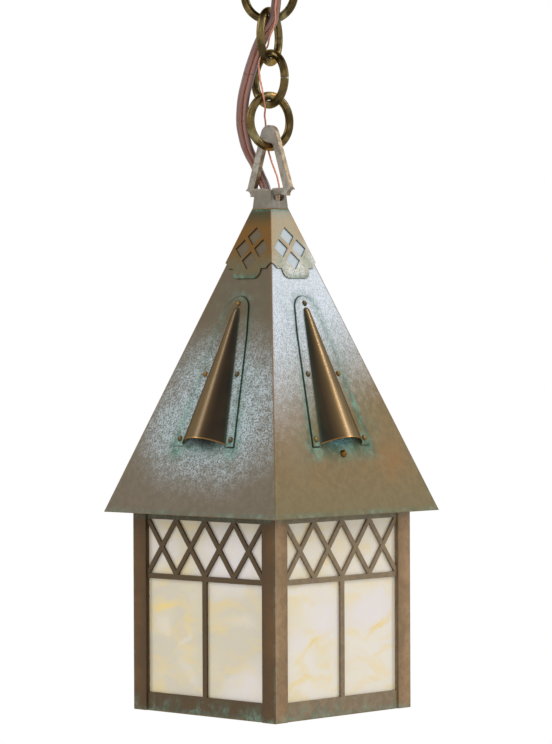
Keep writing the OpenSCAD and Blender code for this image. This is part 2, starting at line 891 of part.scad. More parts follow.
// Bent clips behind the panes, two on each side at the foot and two at the top
module glass_clips() {
    clip_t = 0.6;
    back = glass_back - SEAT;
    color("#9a8458")
        hung()
            for (i = [0:3], s = [-1, 1])
                side(i)
                    translate([s * 34, -back, 0])
                        rotate([90, 0, 90])
                            linear_extrude(clip_w, center = true)
                                union() {
                                    translate([0, frame_t])
                                        square([4.5, clip_t]);
                                    translate([0, frame_t])
                                        square([clip_t, 9]);
                                    translate([0, wall_top - clip_t])
                                        square([2.4, clip_t]);
                                    translate([0, wall_top - 8])
                                        square([clip_t, 8]);
                                }
}

// Lamp
strap_end_z = strap_screw_z + 6;
tab_t = strap_t / cos(roof_slope);
ground_x = 24;
module lamp_strap() {
    color("#8a7a5c")
        hung()
            difference() {
                rotate([90, 0, 0])
                    linear_extrude(strap_w, center = true)
                        polygon(both([
                            [roof_inner(strap_z), strap_z], [roof_inner(strap_end_z), strap_end_z],
                            [roof_inner(strap_end_z) - tab_t, strap_end_z],
                            [roof_inner(strap_z + strap_t) - tab_t, strap_z + strap_t]
                        ]));
                translate([0, 0, strap_z - 1])
                    cylinder(4, r = nipple_r + SEAT);
                translate([ground_x, 0, strap_z - 1])
                    cylinder(4, r = screw_r + FIT);
                for (i = [1, 3])
                    on_roof(i)
                        translate([0, strap_up, -6])
                            cylinder(12, r = screw_r + FIT, $fn = 24);
            }
}

module strap_screws() {
    color("#b8935a")
        hung()
            for (i = [1, 3])
                on_roof(i)
                    translate([0, strap_up, 0])
                        rotate_extrude($fn = 24)
                            polygon([
                                [0, -8], [screw_r, -8], [screw_r, 0], [screw_r + 1.2, 0],
                                [screw_r + 1.15, 0.8], [screw_r + 0.7, 1.6], [screw_r - 0.2, 2.2], [0, 2.5]
                            ]);
}

module strap_nuts() {
    color("#a99a70")
        hung()
            for (i = [1, 3])
                on_roof(i)
                    translate([0, strap_up, -roof_t - strap_t - 2.2])
                        hex_nut(screw_r + SEAT, 5.5, 2.2);
}

lamp_nipple_top = strap_z + strap_t + nut_h + 3;
lamp_nipple_low = holder_top - 6;
module lamp_nipple() {
    color("#a08c5a")
        hung()
            translate([0, 0, lamp_nipple_low])
                difference() {
                    cylinder(lamp_nipple_top - lamp_nipple_low, r = nipple_r);
                    translate([0, 0, -1])
                        cylinder(lamp_nipple_top - lamp_nipple_low + 2, r = nipple_bore_r);
                }
}

module lamp_locknuts() {
    color("#a99a70")
        hung() {
            translate([0, 0, strap_z + strap_t])
                hex_nut(nipple_r + SEAT, 14, nut_h);
            translate([0, 0, strap_z - nut_h])
                hex_nut(nipple_r + SEAT, 14, nut_h);
        }
}

module holder_cap() {
    color("#3a332c")
        hung()
            translate([0, 0, holder_z])
                rotate_extrude($fn = 48)
                    polygon([
                        [nipple_r + SEAT, holder_cap_h], [nipple_r + 5, holder_cap_h],
                        [holder_r, 5], [holder_r, 0],
                        [holder_r - 2, 0], [holder_r - 2, 4.4], [nipple_r + 4, holder_cap_h - 5],
                        [nipple_r + SEAT, holder_cap_h - 5]
                    ]);
}

shell_top = holder_h - 7;
module holder_body() {
    color("#3a332c")
        hung()
            translate([0, 0, socket_z])
                rotate_extrude($fn = 48)
                    polygon([
                        [0, holder_h], [holder_r, holder_h], [holder_r, 3], [holder_r - 1, 0],
                        [shell_r + 0.6, 0], [shell_r + 0.6, shell_top], [0, shell_top]
                    ]);
}

module screw_shell() {
    color("#b08d4a")
        hung()
            translate([0, 0, socket_z + 3])
                difference() {
                    cylinder(shell_top - 3, r = shell_r + 0.5);
                    translate([0, 0, -1])
                        cylinder(shell_top, r = bulb_base_r + 0.3);
                }
}

contact_low = shell_top - 2.4;
module centre_contact() {
    color("#c0a060")
        hung()
            translate([0, 0, socket_z + contact_low])
                cylinder(shell_top - contact_low, r = 3.5);
}

// Bulb, sealed, with its base up in the lampholder
module bulb() {
    low = -bulb_drop;
    color("#d8d2c0", 0.9)
        hung()
            translate([0, 0, socket_z])
                rotate_extrude($fn = 48)
                    polygon(concat(
                        [[0, contact_low], [3.2, contact_low], [4.2, contact_low - 1.6]],
                        [[bulb_base_r - 1, contact_low - 4], [bulb_base_r, contact_low - 5]],
                        [[bulb_base_r, 2]],
                        [[bulb_base_r + 0.3, -4], [bulb_base_r + 1, -12], [bulb_base_r + 3.6, -21]],
                        [for (a = [45:-9:-90]) [bulb_r * cos(a), low + bulb_r + bulb_r * sin(a)]]
                    ));
}

// Cords
cord_end_z = body_z + holder_z;
strap_top_z = body_z + strap_z + strap_t;
function from_ceiling(route) = [for (q = route) [q[0], q[1], q[2] - ROUTE_FOOT]];

// Points of one conductor, set to a side of the pair's middle, down to the top of the lampholder
cord_middle = concat(from_ceiling(CORD_ROUTE), [[0, 0, cord_end_z]]);
cord_facing = concat([for (q = CORD_ROUTE) q[3]], [-90]);
module cord_conductor(s) {
    color("#7d6658")
        tube(
            [
                for (i = [0:len(cord_middle) - 1])
                    let (face = [cos(cord_facing[i]), sin(cord_facing[i]), 0])
                    cord_middle[i] + s * CORD_PAIR * unit(cross(tangent(cord_middle, i), face))
            ],
            CORD_R
        );
}

module cord_conductor_1() {
    cord_conductor(1);
}

module cord_conductor_2() {
    cord_conductor(-1);
}

ground_screw_h = 2.2;
module ground_wire() {
    low = strap_top_z + GROUND_R + 0.15;
    color("#b87758")
        tube(
            concat(
                from_ceiling(GROUND_ROUTE),
                [
                    [ground_x - 6, 0.3, low + 4], [ground_x - 4.8, 0, low + 1],
                    [ground_x - screw_r - 1.6, 0, low]
                ]
            ),
            GROUND_R
        );
}

module ground_screw() {
    color("#5f8a4a")
        hung()
            translate([ground_x, 0, strap_z + strap_t])
                rotate_extrude($fn = 24)
                    polygon([
                        [0, -5], [screw_r, -5], [screw_r, 0],
                        [screw_r + 2, 0], [screw_r + 2, 1.6],
                        [screw_r + 1.4, ground_screw_h], [0, ground_screw_h]
                    ]);
}

ceiling_crossbar();
canopy();
cord_bushing();
canopy_nipple();
nipple_locknut();
loop_stem();
collar_nut();
chain_ring_1();
chain_ring_2();
chain_ring_3();
chain_ring_4();
hanger_bail();
neck();
roof_cap();
roof_shell();
hood_front();
hood_right();
hood_back();
hood_left();
hood_rivets();
corner_post_1();
corner_post_2();
corner_post_3();
corner_post_4();
lattice_front();
lattice_right();
lattice_back();
lattice_left();
glass_front();
glass_right();
glass_back();
glass_left();
top_frame();
bottom_ledge();
glass_clips();
lamp_strap();
strap_screws();
strap_nuts();
lamp_nipple();
lamp_locknuts();
holder_cap();
holder_body();
screw_shell();
centre_contact();
bulb();
cord_conductor_1();
cord_conductor_2();
ground_wire();
ground_screw();
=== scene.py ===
"""Weathered square pendant lantern: cords, rings, finishes, studio and camera, laid out as an add-on."""

import math
from functools import cache, partial

import bmesh
import bpy
import numpy as np
from bpy.props import FloatProperty, FloatVectorProperty, PointerProperty
from mathutils import Matrix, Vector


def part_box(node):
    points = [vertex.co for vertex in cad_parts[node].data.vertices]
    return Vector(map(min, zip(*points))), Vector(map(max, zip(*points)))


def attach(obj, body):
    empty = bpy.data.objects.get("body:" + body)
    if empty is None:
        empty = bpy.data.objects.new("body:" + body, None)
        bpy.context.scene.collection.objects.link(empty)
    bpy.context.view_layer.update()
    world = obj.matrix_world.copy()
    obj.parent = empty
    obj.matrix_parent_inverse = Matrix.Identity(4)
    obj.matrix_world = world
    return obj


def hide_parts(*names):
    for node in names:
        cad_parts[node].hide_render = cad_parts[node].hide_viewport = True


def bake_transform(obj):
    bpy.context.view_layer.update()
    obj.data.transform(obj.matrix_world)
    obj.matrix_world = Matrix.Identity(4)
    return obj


bl_info = {
    "name": "Pendant Lantern",
    "version": (1, 0, 0),
    "blender": (4, 5, 0),
    "location": "View3D > Sidebar > Lantern",
    "description": "Dresses a square pendant lantern with weathered metal, art glass and woven cords",
    "category": "Object",
}

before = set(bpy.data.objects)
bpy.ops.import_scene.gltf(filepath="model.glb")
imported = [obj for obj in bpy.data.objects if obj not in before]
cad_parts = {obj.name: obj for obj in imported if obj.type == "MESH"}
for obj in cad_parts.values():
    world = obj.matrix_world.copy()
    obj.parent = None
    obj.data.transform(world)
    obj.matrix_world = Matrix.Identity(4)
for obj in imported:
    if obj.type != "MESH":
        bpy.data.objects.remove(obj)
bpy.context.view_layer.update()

# Main sizes, read from the frame, in metres
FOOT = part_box("corner_post_1")[0].z
EAVE_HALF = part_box("roof_shell")[1].x
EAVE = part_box("roof_shell")[0].z
ROOF_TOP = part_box("roof_shell")[1].z
# How far over its edge the roof's faces meet, and how far under the lantern's foot the floor lies
ROOF_RISE = 0.2165
FLOOR_DROP = 0.62
ROOF_SLOPE = math.atan(EAVE_HALF / ROOF_RISE)
UP = np.array([0, 0, 1.0])

# Places on a roof face, in mm across from its middle and up from its edge. A straight side of the flange is given by
# one point on it and by how far it leans in for each mm up, and the round top by its centre's height and its radius.
FLANGE_FOOT, FLANGE_LEAN = (26.3, 46.0), 0.1664
SHOULDER, SHOULDER_LEAN = (13.8, 121.0), 0.229
ROUND_TOP, ROUND_RADIUS = 137.4, 9.8
HOOD_TIP, HOOD_LEAN = 159.6, 0.1794
CAP_TOP, CAP_DEPTH = 207.2, 47.8

SIDES = ("front", "right", "back", "left")
RINGS = [f"chain_ring_{k}" for k in (1, 2, 3, 4)]
RING_TURNS = [29, 113, -11, 84]
RING_CUT_TURNS = [0, 50, 0, -65]
# A cord is cut once inside each ring: the height of the last cut, and the length from one cut to the next
LAST_CUT, LINK_LENGTH = -0.139, 0.0308

# Middle of the twin cord, as x, y, height over the body's foot as drawn, in mm, and the direction that the pair faces
CORD_ROUTE = np.array([
    (20, -20, 505, -46), (20, -20, 494, -46), (18, -16.8, 485, -40),
    (14.6, -11.2, 476, -25), (11.1, -5.8, 467, -10), (9, -2.9, 459, 5.1),
    (8.3, -3.3, 452.1, 4.9), (7, -4.1, 445.5, 0.6), (4, -5.5, 440.3, -14.5),
    (0.4, -6.4, 435, -31.7), (-3.3, -6.8, 429, -46), (-6.4, -7.5, 422, -46),
    (-9, -8.7, 414, -46), (-10.8, -10, 406, -46), (-12.4, -11.6, 396, -46),
    (-13.2, -12.1, 387, -46), (-14, -11.4, 378.5, -49.9), (-14.9, -8.6, 371, -55.9),
    (-16.6, -4.4, 364.6, -62), (-17.9, 0.4, 359.2, -69.9), (-17.2, 3.6, 354.2, -82),
    (-15.2, 4.4, 349.3, -89.9), (-12.3, 4.2, 344.3, -90), (-9.3, 4.1, 339.9, -94.4),
    (-7.1, 4, 334.7, -90.3), (-3.6, 3.9, 328.6, -89.8), (-2.4, 3.9, 324.4, -89.9),
    (-2, 3.9, 319, -90.2), (-1.8, 3, 305, -90), (-0.7, 1.3, 280, -90),
    (0, 0, 240, -90), (0, 0, 200, -90), (0, 0, 138.7, -90),
], float)
GROUND_ROUTE = np.array([
    (22, -22, 505), (22, -22, 495), (20.6, -19.6, 486), (17.8, -14.8, 477), (14.8, -9.8, 468),
    (12.4, -6.5, 458.9), (11.5, -6.6, 451.6), (10.3, -5.5, 445), (8.6, -6.1, 439.1), (6.2, -6.6, 433.9),
    (3.9, -5.8, 429), (1.1, -6.3, 425), (-1.6, -7.7, 420), (-2, -7.8, 412), (-0.3, -7.9, 404.5),
    (2.3, -9, 398.5), (3.1, -8.6, 393.5), (1.7, -6.2, 388.8), (-2.5, -2.4, 384.5), (-6.5, 2.6, 379.5),
    (-7.5, 3.4, 371), (-5, 3.8, 361.5), (-1.5, 4, 352.5), (2.4, 3.8, 345), (4.4, 3.4, 339.5),
    (4.8, 3.4, 333), (4.8, 3.4, 324), (7, 3, 280), (14, 1.4, 190), (16.8, 0.6, 168),
    (18, 0.3, 161.75), (19.2, 0, 158.75), (21.2, 0, 157.75),
], float)
ROUTE_FOOT = 519.5


def paint(red, green, blue):
    """Linear colour of a colour written as 0 to 255 for a screen."""
    value = np.array([red, green, blue], float) / 255
    linear = np.where(value <= 0.04045, value / 12.92, ((value + 0.055) / 1.055) ** 2.4)
    return tuple(float(v) for v in linear)


# ---------------------------------------------------------------- settings

Tint = partial(FloatVectorProperty, subtype="COLOR")
Length = partial(FloatProperty, unit="LENGTH")
Angle = partial(FloatProperty, subtype="ANGLE")


class LanternViewSettings(bpy.types.PropertyGroup):
    """Camera and light."""

    lens: FloatProperty(name="Lens", description="Focal length on a 36 mm frame", default=158.98, min=20)
    distance: Length(name="Distance", description="From the lantern's axis to the camera", default=2.12915)
    height: Length(name="Height", description="Of the camera over the body's foot", default=0.24426)
    turn: Angle(name="Turn", description="Direction of the camera round the lantern", default=math.radians(43.737))
    pitch: Angle(name="Pitch", description="How far the camera looks down", default=math.radians(0.707))
    roll: Angle(name="Roll", description="Turn of the camera about its line of sight", default=0.00426)
    aside: Length(name="Aside", description="Shift of the camera to its right", default=0.003208)
    left_light: FloatProperty(name="Left light", description="Power of the left lamp", default=6.5)
    right_light: FloatProperty(name="Right light", description="Power of the right lamp", default=9.0)
    world_light: FloatProperty(name="World light", description="Strength of the even light", default=0.82)


class LanternMetalSettings(bpy.types.PropertyGroup):
    """Colours of the weathered metal."""

    brown: Tint(name="Brown", description="Brown patina of the roof", default=paint(110, 98, 80))
    ochre: Tint(name="Ochre", description="Warmer patina of the roof's side faces", default=paint(130, 109, 72))
    # Silver is the bloom low on the roof's front faces: partly real bloom and partly a painted reflection of the lamps
    silver: Tint(name="Silver", description="Silvery bloom on the roof", default=paint(178, 190, 194))
    bronze: Tint(name="Bronze", description="Smooth hoods", default=paint(66, 52, 34))
    verdigris: Tint(name="Verdigris", description="Green of the corrosion", default=paint(92, 142, 120))
    brass: Tint(name="Brass", description="Worn rivets and screws", default=paint(140, 100, 42))
    # Dark brown is the posts' front-face tone: painted shade, darker than their side faces
    dark: Tint(name="Dark brown", description="Posts and lattice", default=paint(82, 62, 38))
    edge_width: Length(name="Edge width", description="Rounding of cut edges", default=0.00025)


class LanternGlassSettings(bpy.types.PropertyGroup):
    """Colours of the art glass."""

    milk: Tint(name="Milk", description="Ground colour of the glass", default=paint(209, 201, 179))
    cream: Tint(name="Cream", description="Slow clouds in the ground", default=paint(228, 218, 184))
    white: Tint(name="White", description="Lilac white clouds", default=paint(232, 226, 226))
    honey: Tint(name="Honey", description="Yellow streaks", default=paint(240, 212, 132))


class LanternCordSettings(bpy.types.PropertyGroup):
    """Twin cord and ground wire."""

    conductor: Length(name="Conductor", description="Diameter of one insulated conductor", default=0.00392)
    spread: Length(name="Spread", description="From the pair's middle to a conductor", default=0.00195)
    ground: Length(name="Ground wire", description="Diameter of the bare wire", default=0.0013)
    skin: Tint(name="Skin", description="Insulation of the cord", default=paint(176, 124, 108))
    copper: Tint(name="Copper", description="Bare wire", default=paint(236, 170, 142))


class LanternRingSettings(bpy.types.PropertyGroup):
    """Chain rings."""

    radius: Length(name="Radius", description="To the middle of the wire", default=0.01655)
    wire: Length(name="Wire", description="Radius of the wire", default=0.0027)
    saw_cut: Length(name="Saw cut", description="Width of the gap in a ring", default=0.0004)
    olive: Tint(name="Olive", description="Colour of the rings", default=paint(110, 94, 58))


# ---------------------------------------------------------------- surfaces


def place_object(name, data):
    """New object in the scene, for a mesh, a lamp or a camera."""
    obj = bpy.data.objects.new(name, data)
    bpy.context.scene.collection.objects.link(obj)
    return obj


def aim(obj, x_axis, y_axis, z_axis, place):
    """Turns an object to three directions and sets it at a place."""
    world = np.eye(4)
    world[:3] = np.stack([x_axis, y_axis, z_axis, place], 1)
    obj.matrix_world = Matrix(world.tolist())


def lay_grid(name, grid, wrap_rows=False, uv_rows=None):
    """Mesh from a grid of points: each point is joined to the next in its row, which closes on itself,
    and to the same one in the next row. Open ends get a fan to their middle point."""
    rows, cols, _ = grid.shape
    r = np.arange(rows if wrap_rows else rows - 1)[:, None]
    c = np.arange(cols)[None, :]
    r2, c2 = (r + 1) % rows, (c + 1) % cols
    quads = np.stack([r * cols + c, r * cols + c2, r2 * cols + c2, r2 * cols + c], -1).reshape(-1, 4)
    verts = grid.reshape(-1, 3)
    faces = quads.tolist()
    along = np.linspace(0, 1, rows) if uv_rows is None else uv_rows
    u = np.stack([c, c + 1, c + 1, c], -1) / cols
    v = np.stack([along[r], along[r], along[r2], along[r2]], -1)
    uv = np.stack(np.broadcast_arrays(u, v), -1).reshape(-1, 2)
    if not wrap_rows:
        middles = np.array([grid[0].mean(0), grid[-1].mean(0)])
        verts = np.concatenate([verts, middles])
        k = np.arange(cols)
        k2 = (k + 1) % cols
        start = np.stack([np.full(cols, rows * cols), k2, k], -1)
        last = (rows - 1) * cols
        end = np.stack([np.full(cols, rows * cols + 1), last + k, last + k2], -1)
        faces += start.tolist() + end.tolist()
        uv = np.concatenate([uv, np.tile([0.5, along[0]], (3 * cols, 1)), np.tile([0.5, along[-1]], (3 * cols, 1))])
    mesh = bpy.data.meshes.new(name)
    mesh.from_pydata(verts.tolist(), [], faces)
    layer = mesh.uv_layers.new(name="UVMap")
    layer.data.foreach_set("uv", uv.astype(np.float32).ravel())
    mesh.polygons.foreach_set("use_smooth", np.arange(len(faces)) < len(quads))
    mesh.update()
    return place_object(name, mesh)


def unit(v):
    """Vectors scaled to length 1."""
    return v / np.linalg.norm(v, axis=-1, keepdims=True)


def run_along(path):
    """Distance along a path to each of its points."""
    return np.concatenate([[0], np.cumsum(np.linalg.norm(np.diff(path, axis=0), axis=1))])


def smooth_line(points, step):
    """Curve through the points: cubic pieces whose slope at a point is the mean of the slopes beside it,
    weighted by the other side's length. Read off at even steps."""
    gap = np.linalg.norm(np.diff(points[:, :3], axis=0), axis=1)
    at = np.concatenate([[0], np.cumsum(gap)])
    slope = np.diff(points, axis=0) / gap[:, None]
    mid = (slope[:-1] * gap[1:, None] + slope[1:] * gap[:-1, None]) / (gap[:-1] + gap[1:])[:, None]
    tangent = np.concatenate([slope[:1], mid, slope[-1:]])
    s = np.linspace(0, at[-1], int(at[-1] / step) + 1)
    i = np.clip(np.searchsorted(at, s, side="right") - 1, 0, len(gap) - 1)
    h = gap[i][:, None]
    t = ((s - at[i]) / gap[i])[:, None]
    return (
        (2 * t**3 - 3 * t**2 + 1) * points[i]
        + (t**3 - 2 * t**2 + t) * h * tangent[i]
        + (3 * t**2 - 2 * t**3) * points[i + 1]
        + (t**3 - t**2) * h * tangent[i + 1]
    )


def tube(name, path, radius, side, sides=16, twist=0.0, ribs=0, rib_depth=0.0):
    """Tube round a path: a circle in the plane square to the path at each point, whose first direction is side.
    Ribs raise the radius by a cosine round the circle that turns along the path, as strands do."""
    t = unit(np.gradient(path, axis=0))
    a = unit(side - (side * t).sum(-1, keepdims=True) * t)
    b = np.cross(t, a)
    run = run_along(path)
    angle = np.linspace(0, 2 * math.pi, sides, endpoint=False)[None, :]
    r = radius * (1 - rib_depth * (0.5 - 0.5 * np.cos(ribs * angle + twist * run[:, None])))
    spokes = np.cos(angle)[..., None] * a[:, None] + np.sin(angle)[..., None] * b[:, None]
    return lay_grid(name, path[:, None] + r[..., None] * spokes, uv_rows=run)


def softened(node, width, name):
    """Copy of a CAD node with its loose triangles merged and its cut edges rounded by a bevel."""
    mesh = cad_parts[node].data.copy()
    mesh.name = name
    shape = bmesh.new()
    shape.from_mesh(mesh)
    bmesh.ops.remove_doubles(shape, verts=shape.verts, dist=1e-6)
    bmesh.ops.dissolve_limit(
        shape, angle_limit=math.radians(0.5), verts=shape.verts, edges=shape.edges, use_dissolve_boundaries=False
    )
    shape.to_mesh(mesh)
    shape.free()
    obj = place_object(name, mesh)
    bevel = obj.modifiers.new("rounded_edges", "BEVEL")
    bevel.width = width
    bevel.segments = 2
    bevel.limit_method = "ANGLE"
    bevel.angle_limit = math.radians(32)
    return obj


# ---------------------------------------------------------------- wiring of materials


class Wiring:
    """Puts nodes into one tree and joins them."""

    def __init__(self, tree):
        self.tree = tree

    def feed(self, sockets, values):
        """Gives sockets their values: another socket is linked and a plain value is set."""
        for key, value in values.items():
            socket = sockets[key]
            if isinstance(value, bpy.types.NodeSocket):
                self.tree.links.new(value, socket)
            elif hasattr(value, "__len__") and len(value) == 3 and len(socket.default_value) == 4:
                socket.default_value = (*value, 1.0)
            else:
                socket.default_value = value

    def put(self, kind, inputs=None, **settings):
        node = self.tree.nodes.new(kind)
        for key, value in settings.items():
            setattr(node, key, value)
        self.feed(node.inputs, inputs or {})
        return node

    def group(self, tree, inputs=None):
        return self.put("ShaderNodeGroup", inputs, node_tree=tree).outputs

    def math(self, operation, a, b=0.0, c=0.0, clamp=False):
        return self.put("ShaderNodeMath", {0: a, 1: b, 2: c}, operation=operation, use_clamp=clamp).outputs[0]

    def add(self, a, b):
        return self.math("ADD", a, b)

    def sub(self, a, b):
        return self.math("SUBTRACT", a, b)

    def mul(self, a, b):
        return self.math("MULTIPLY", a, b)

    def both(self, *values):
        """Product of masks, kept within 0 and 1."""
        out = values[0]
        for value in values[1:]:
            out = self.math("MULTIPLY", out, value, clamp=True)
        return out

    def most(self, *values):
        """Largest of the values."""
        out = values[0]
        for value in values[1:]:
            out = self.math("MAXIMUM", out, value)
        return out

    def step(self, value, low, high, to_low=0.0, to_high=1.0):
        """Smooth step of value from low to high, mapped from to_low to to_high."""
        inputs = {0: value, 1: low, 2: high, 3: to_low, 4: to_high}
        return self.put("ShaderNodeMapRange", inputs, interpolation_type="SMOOTHSTEP").outputs[0]

    def level(self, value, low, high):
        """Mask from 0 to 1 eased and mapped from low to high."""
        return self.step(value, 0, 1, low, high)

    def fade(self, value, low=0.0, high=1.0):
        """Smooth step down, from 1 at low to 0 at high."""
        return self.step(value, low, high, 1.0, 0.0)

    def near(self, value, centre, width):
        """1 where value is centre, falling smoothly to 0 at width from it."""
        return self.fade(self.math("ABSOLUTE", self.sub(value, centre)), 0.0, width)

    def blob(self, a, b, ca, cb, ra, rb):
        """1 in the middle of an oval, falling smoothly to 0 at its edge."""
        x = self.math("DIVIDE", self.sub(a, ca), ra)
        y = self.math("DIVIDE", self.sub(b, cb), rb)
        return self.fade(self.math("SQRT", self.add(self.mul(x, x), self.mul(y, y))), 0.15)

    def noise(self, vector, scale, detail=4.0, roughness=0.6, distortion=0.0):
        inputs = {"Vector": vector, "Scale": scale, "Detail": detail, "Roughness": roughness, "Distortion": distortion}
        return self.put("ShaderNodeTexNoise", inputs).outputs[0]

    def mix(self, factor, a, b):
        """Colour between two colours."""
        return self.put("ShaderNodeMix", {0: factor, 6: a, 7: b}, data_type="RGBA").outputs[2]

    def over(self, colour, *layers):
        """Colour with others laid over it in turn, each with its mask."""
        for mask, tone in layers:
            colour = self.mix(mask, colour, paint(*tone))
        return colour

    def pick(self, factor, a, b):
        """Number between two numbers."""
        return self.put("ShaderNodeMix", {0: factor, 2: a, 3: b}, data_type="FLOAT").outputs[0]

    def ramp(self, factor, stops):
        """Colour read off a row of stops, each a place from 0 to 1 and a colour for a screen."""
        node = self.put("ShaderNodeValToRGB", {0: factor})
        elements = node.color_ramp.elements
        while len(elements) < len(stops):
            elements.new(0.5)
        for element, (place, colour) in zip(elements, stops):
            element.position = place
            element.color = (*paint(*colour), 1.0)
        return node.outputs[0]

    def bump(self, height, distance, strength=0.35):
        inputs = {"Height": height, "Distance": distance, "Strength": strength}
        return self.put("ShaderNodeBump", inputs).outputs[0]

    def apart(self, vector):
        return self.put("ShaderNodeSeparateXYZ", {0: vector}).outputs

    def uv(self):
        """Place on a tube: round it, and along it in metres."""
        return self.apart(self.put("ShaderNodeUVMap").outputs[0])

    def object_mm(self):
        """Object coordinates in millimetres."""
        spot = self.put("ShaderNodeTexCoord").outputs["Object"]
        return self.put("ShaderNodeVectorMath", {0: spot, 1: (1000, 1000, 1000)}, operation="MULTIPLY").outputs[0]

    def mottled(self, spot, size):
        return self.group(speckle(), {"Spot": spot, "Size": size})

    def crusted(self, base, mask, spot, rough, green=None):
        green = green or bpy.context.scene.lantern_metal.verdigris[:]
        return self.group(green_crust(), {"Base": base, "Green": green, "Mask": mask, "Spot": spot, "Rough": rough})

    def direct(self):
        """1 for rays that see the surface itself: from the camera, through glass or by a reflection."""
        path = self.put("ShaderNodeLightPath").outputs
        return self.most(path["Is Camera Ray"], path["Is Transmission Ray"], path["Is Glossy Ray"])


SHADER_SOCKETS = {
    "colour": "Base Color", "rough": "Roughness", "metal": "Metallic", "normal": "Normal", "coat": "Coat Weight",
    "coat_rough": "Coat Roughness", "gloss": "Specular IOR Level", "gloss_tint": "Specular Tint",
    "under": "Subsurface Weight", "under_reach": "Subsurface Radius",
}


class Finish(Wiring):
    """New material and its wiring."""

    def __init__(self, name):
        self.made = bpy.data.materials.new(name)
        self.made.use_nodes = True
        super().__init__(self.made.node_tree)
        self.shader = self.tree.nodes["Principled BSDF"]

    def shade(self, **inputs):
        """Feeds the material's own shader by short names, and gives the material."""
        self.feed(self.shader.inputs, {SHADER_SOCKETS[key]: value for key, value in inputs.items()})
        return self.made


def new_group(name, inputs, outputs):
    """Empty shader group with its sockets named by kind; gives its wiring, and the sockets inside it."""
    tree = bpy.data.node_groups.new(name, "ShaderNodeTree")
    for way, kinds in (("INPUT", inputs), ("OUTPUT", outputs)):
        for kind, labels in kinds.items():
            for label in labels.split(", "):
                tree.interface.new_socket(name=label, in_out=way, socket_type=f"NodeSocket{kind}")
    w = Wiring(tree)
    return w, w.put("NodeGroupInput").outputs, w.put("NodeGroupOutput").inputs


@cache
def face_places():
    """Places on the four roof faces, in mm: sideways, up the slope, out of the roof, from the hip, over the foot,
    and 1 on the two side faces."""
    outputs = {"Float": "Sideways, Up, Out, To hip, Height, Side face", "Vector": "Spot"}
    w, _, out = new_group("roof_face_places", {}, outputs)
    spot = w.object_mm()
    x, y, z = w.apart(spot)
    ax, ay = w.math("ABSOLUTE", x), w.math("ABSOLUTE", y)
    outward, across = w.most(ax, ay), w.math("MINIMUM", ax, ay)
    height = w.sub(z, FOOT * 1000)
    over = w.sub(height, (EAVE - FOOT) * 1000)
    inward = w.sub(EAVE_HALF * 1000, outward)
    c, s = math.cos(ROOF_SLOPE), math.sin(ROOF_SLOPE)
    side = w.math("GREATER_THAN", ax, ay)
    front_run = w.mul(x, w.mul(w.math("SIGN", y), -1.0))
    side_run = w.mul(y, w.math("SIGN", x))
    w.feed(out, {
        "Sideways": w.pick(side, front_run, side_run), "Up": w.add(w.mul(over, c), w.mul(inward, s)),
        "Out": w.sub(w.mul(over, s), w.mul(inward, c)), "To hip": w.sub(outward, across), "Height": height,
        "Side face": side, "Spot": spot,
    })
    return w.tree


@cache
def speckle():
    """Mottling of old metal: fine grains, spots and slow clouds, each from 0 to 1."""
    inputs = {"Vector": "Spot", "Float": "Size"}
    w, into, out = new_group("metal_speckle", inputs, {"Float": "Grain, Spots, Cloud, Height"})
    spot = w.put("ShaderNodeVectorMath", {0: into["Spot"], "Scale": into["Size"]}, operation="SCALE").outputs[0]
    grain = w.noise(spot, 0.95, 2.0, 0.6)
    spots = w.noise(spot, 0.22, 5.0, 0.66, 0.4)
    cloud = w.noise(spot, 0.035, 3.0, 0.55, 0.6)
    w.feed(out, {
        "Grain": w.step(grain, 0.38, 0.6), "Spots": w.step(spots, 0.38, 0.62), "Cloud": w.step(cloud, 0.35, 0.65),
        "Height": w.add(w.mul(grain, 0.6), w.mul(spots, 0.4)),
    })
    return w.tree


@cache
def green_crust():
    """Verdigris: the mask is broken up by spots and grain, and the colour goes from deep to pale green."""
    inputs = {"Color": "Base, Green", "Float": "Mask, Rough", "Vector": "Spot"}
    w, into, out = new_group("verdigris_crust", inputs, {"Color": "Colour", "Float": "Rough, Cover"})
    breakup = w.noise(into["Spot"], 0.4, 6.0, 0.7, 0.5)
    tone = w.noise(into["Spot"], 0.12, 4.0, 0.6)
    cover = w.both(into["Mask"], w.step(breakup, 0.34, 0.6, 0.15, 1.0))
    deep = w.mix(0.55, into["Green"], paint(40, 66, 58))
    pale = w.mix(0.35, into["Green"], paint(170, 205, 190))
    green = w.mix(w.step(tone, 0.38, 0.66), deep, pale)
    w.feed(out, {
        "Colour": w.mix(cover, into["Base"], green), "Rough": w.pick(cover, into["Rough"], 0.8), "Cover": cover,
    })
    return w.tree


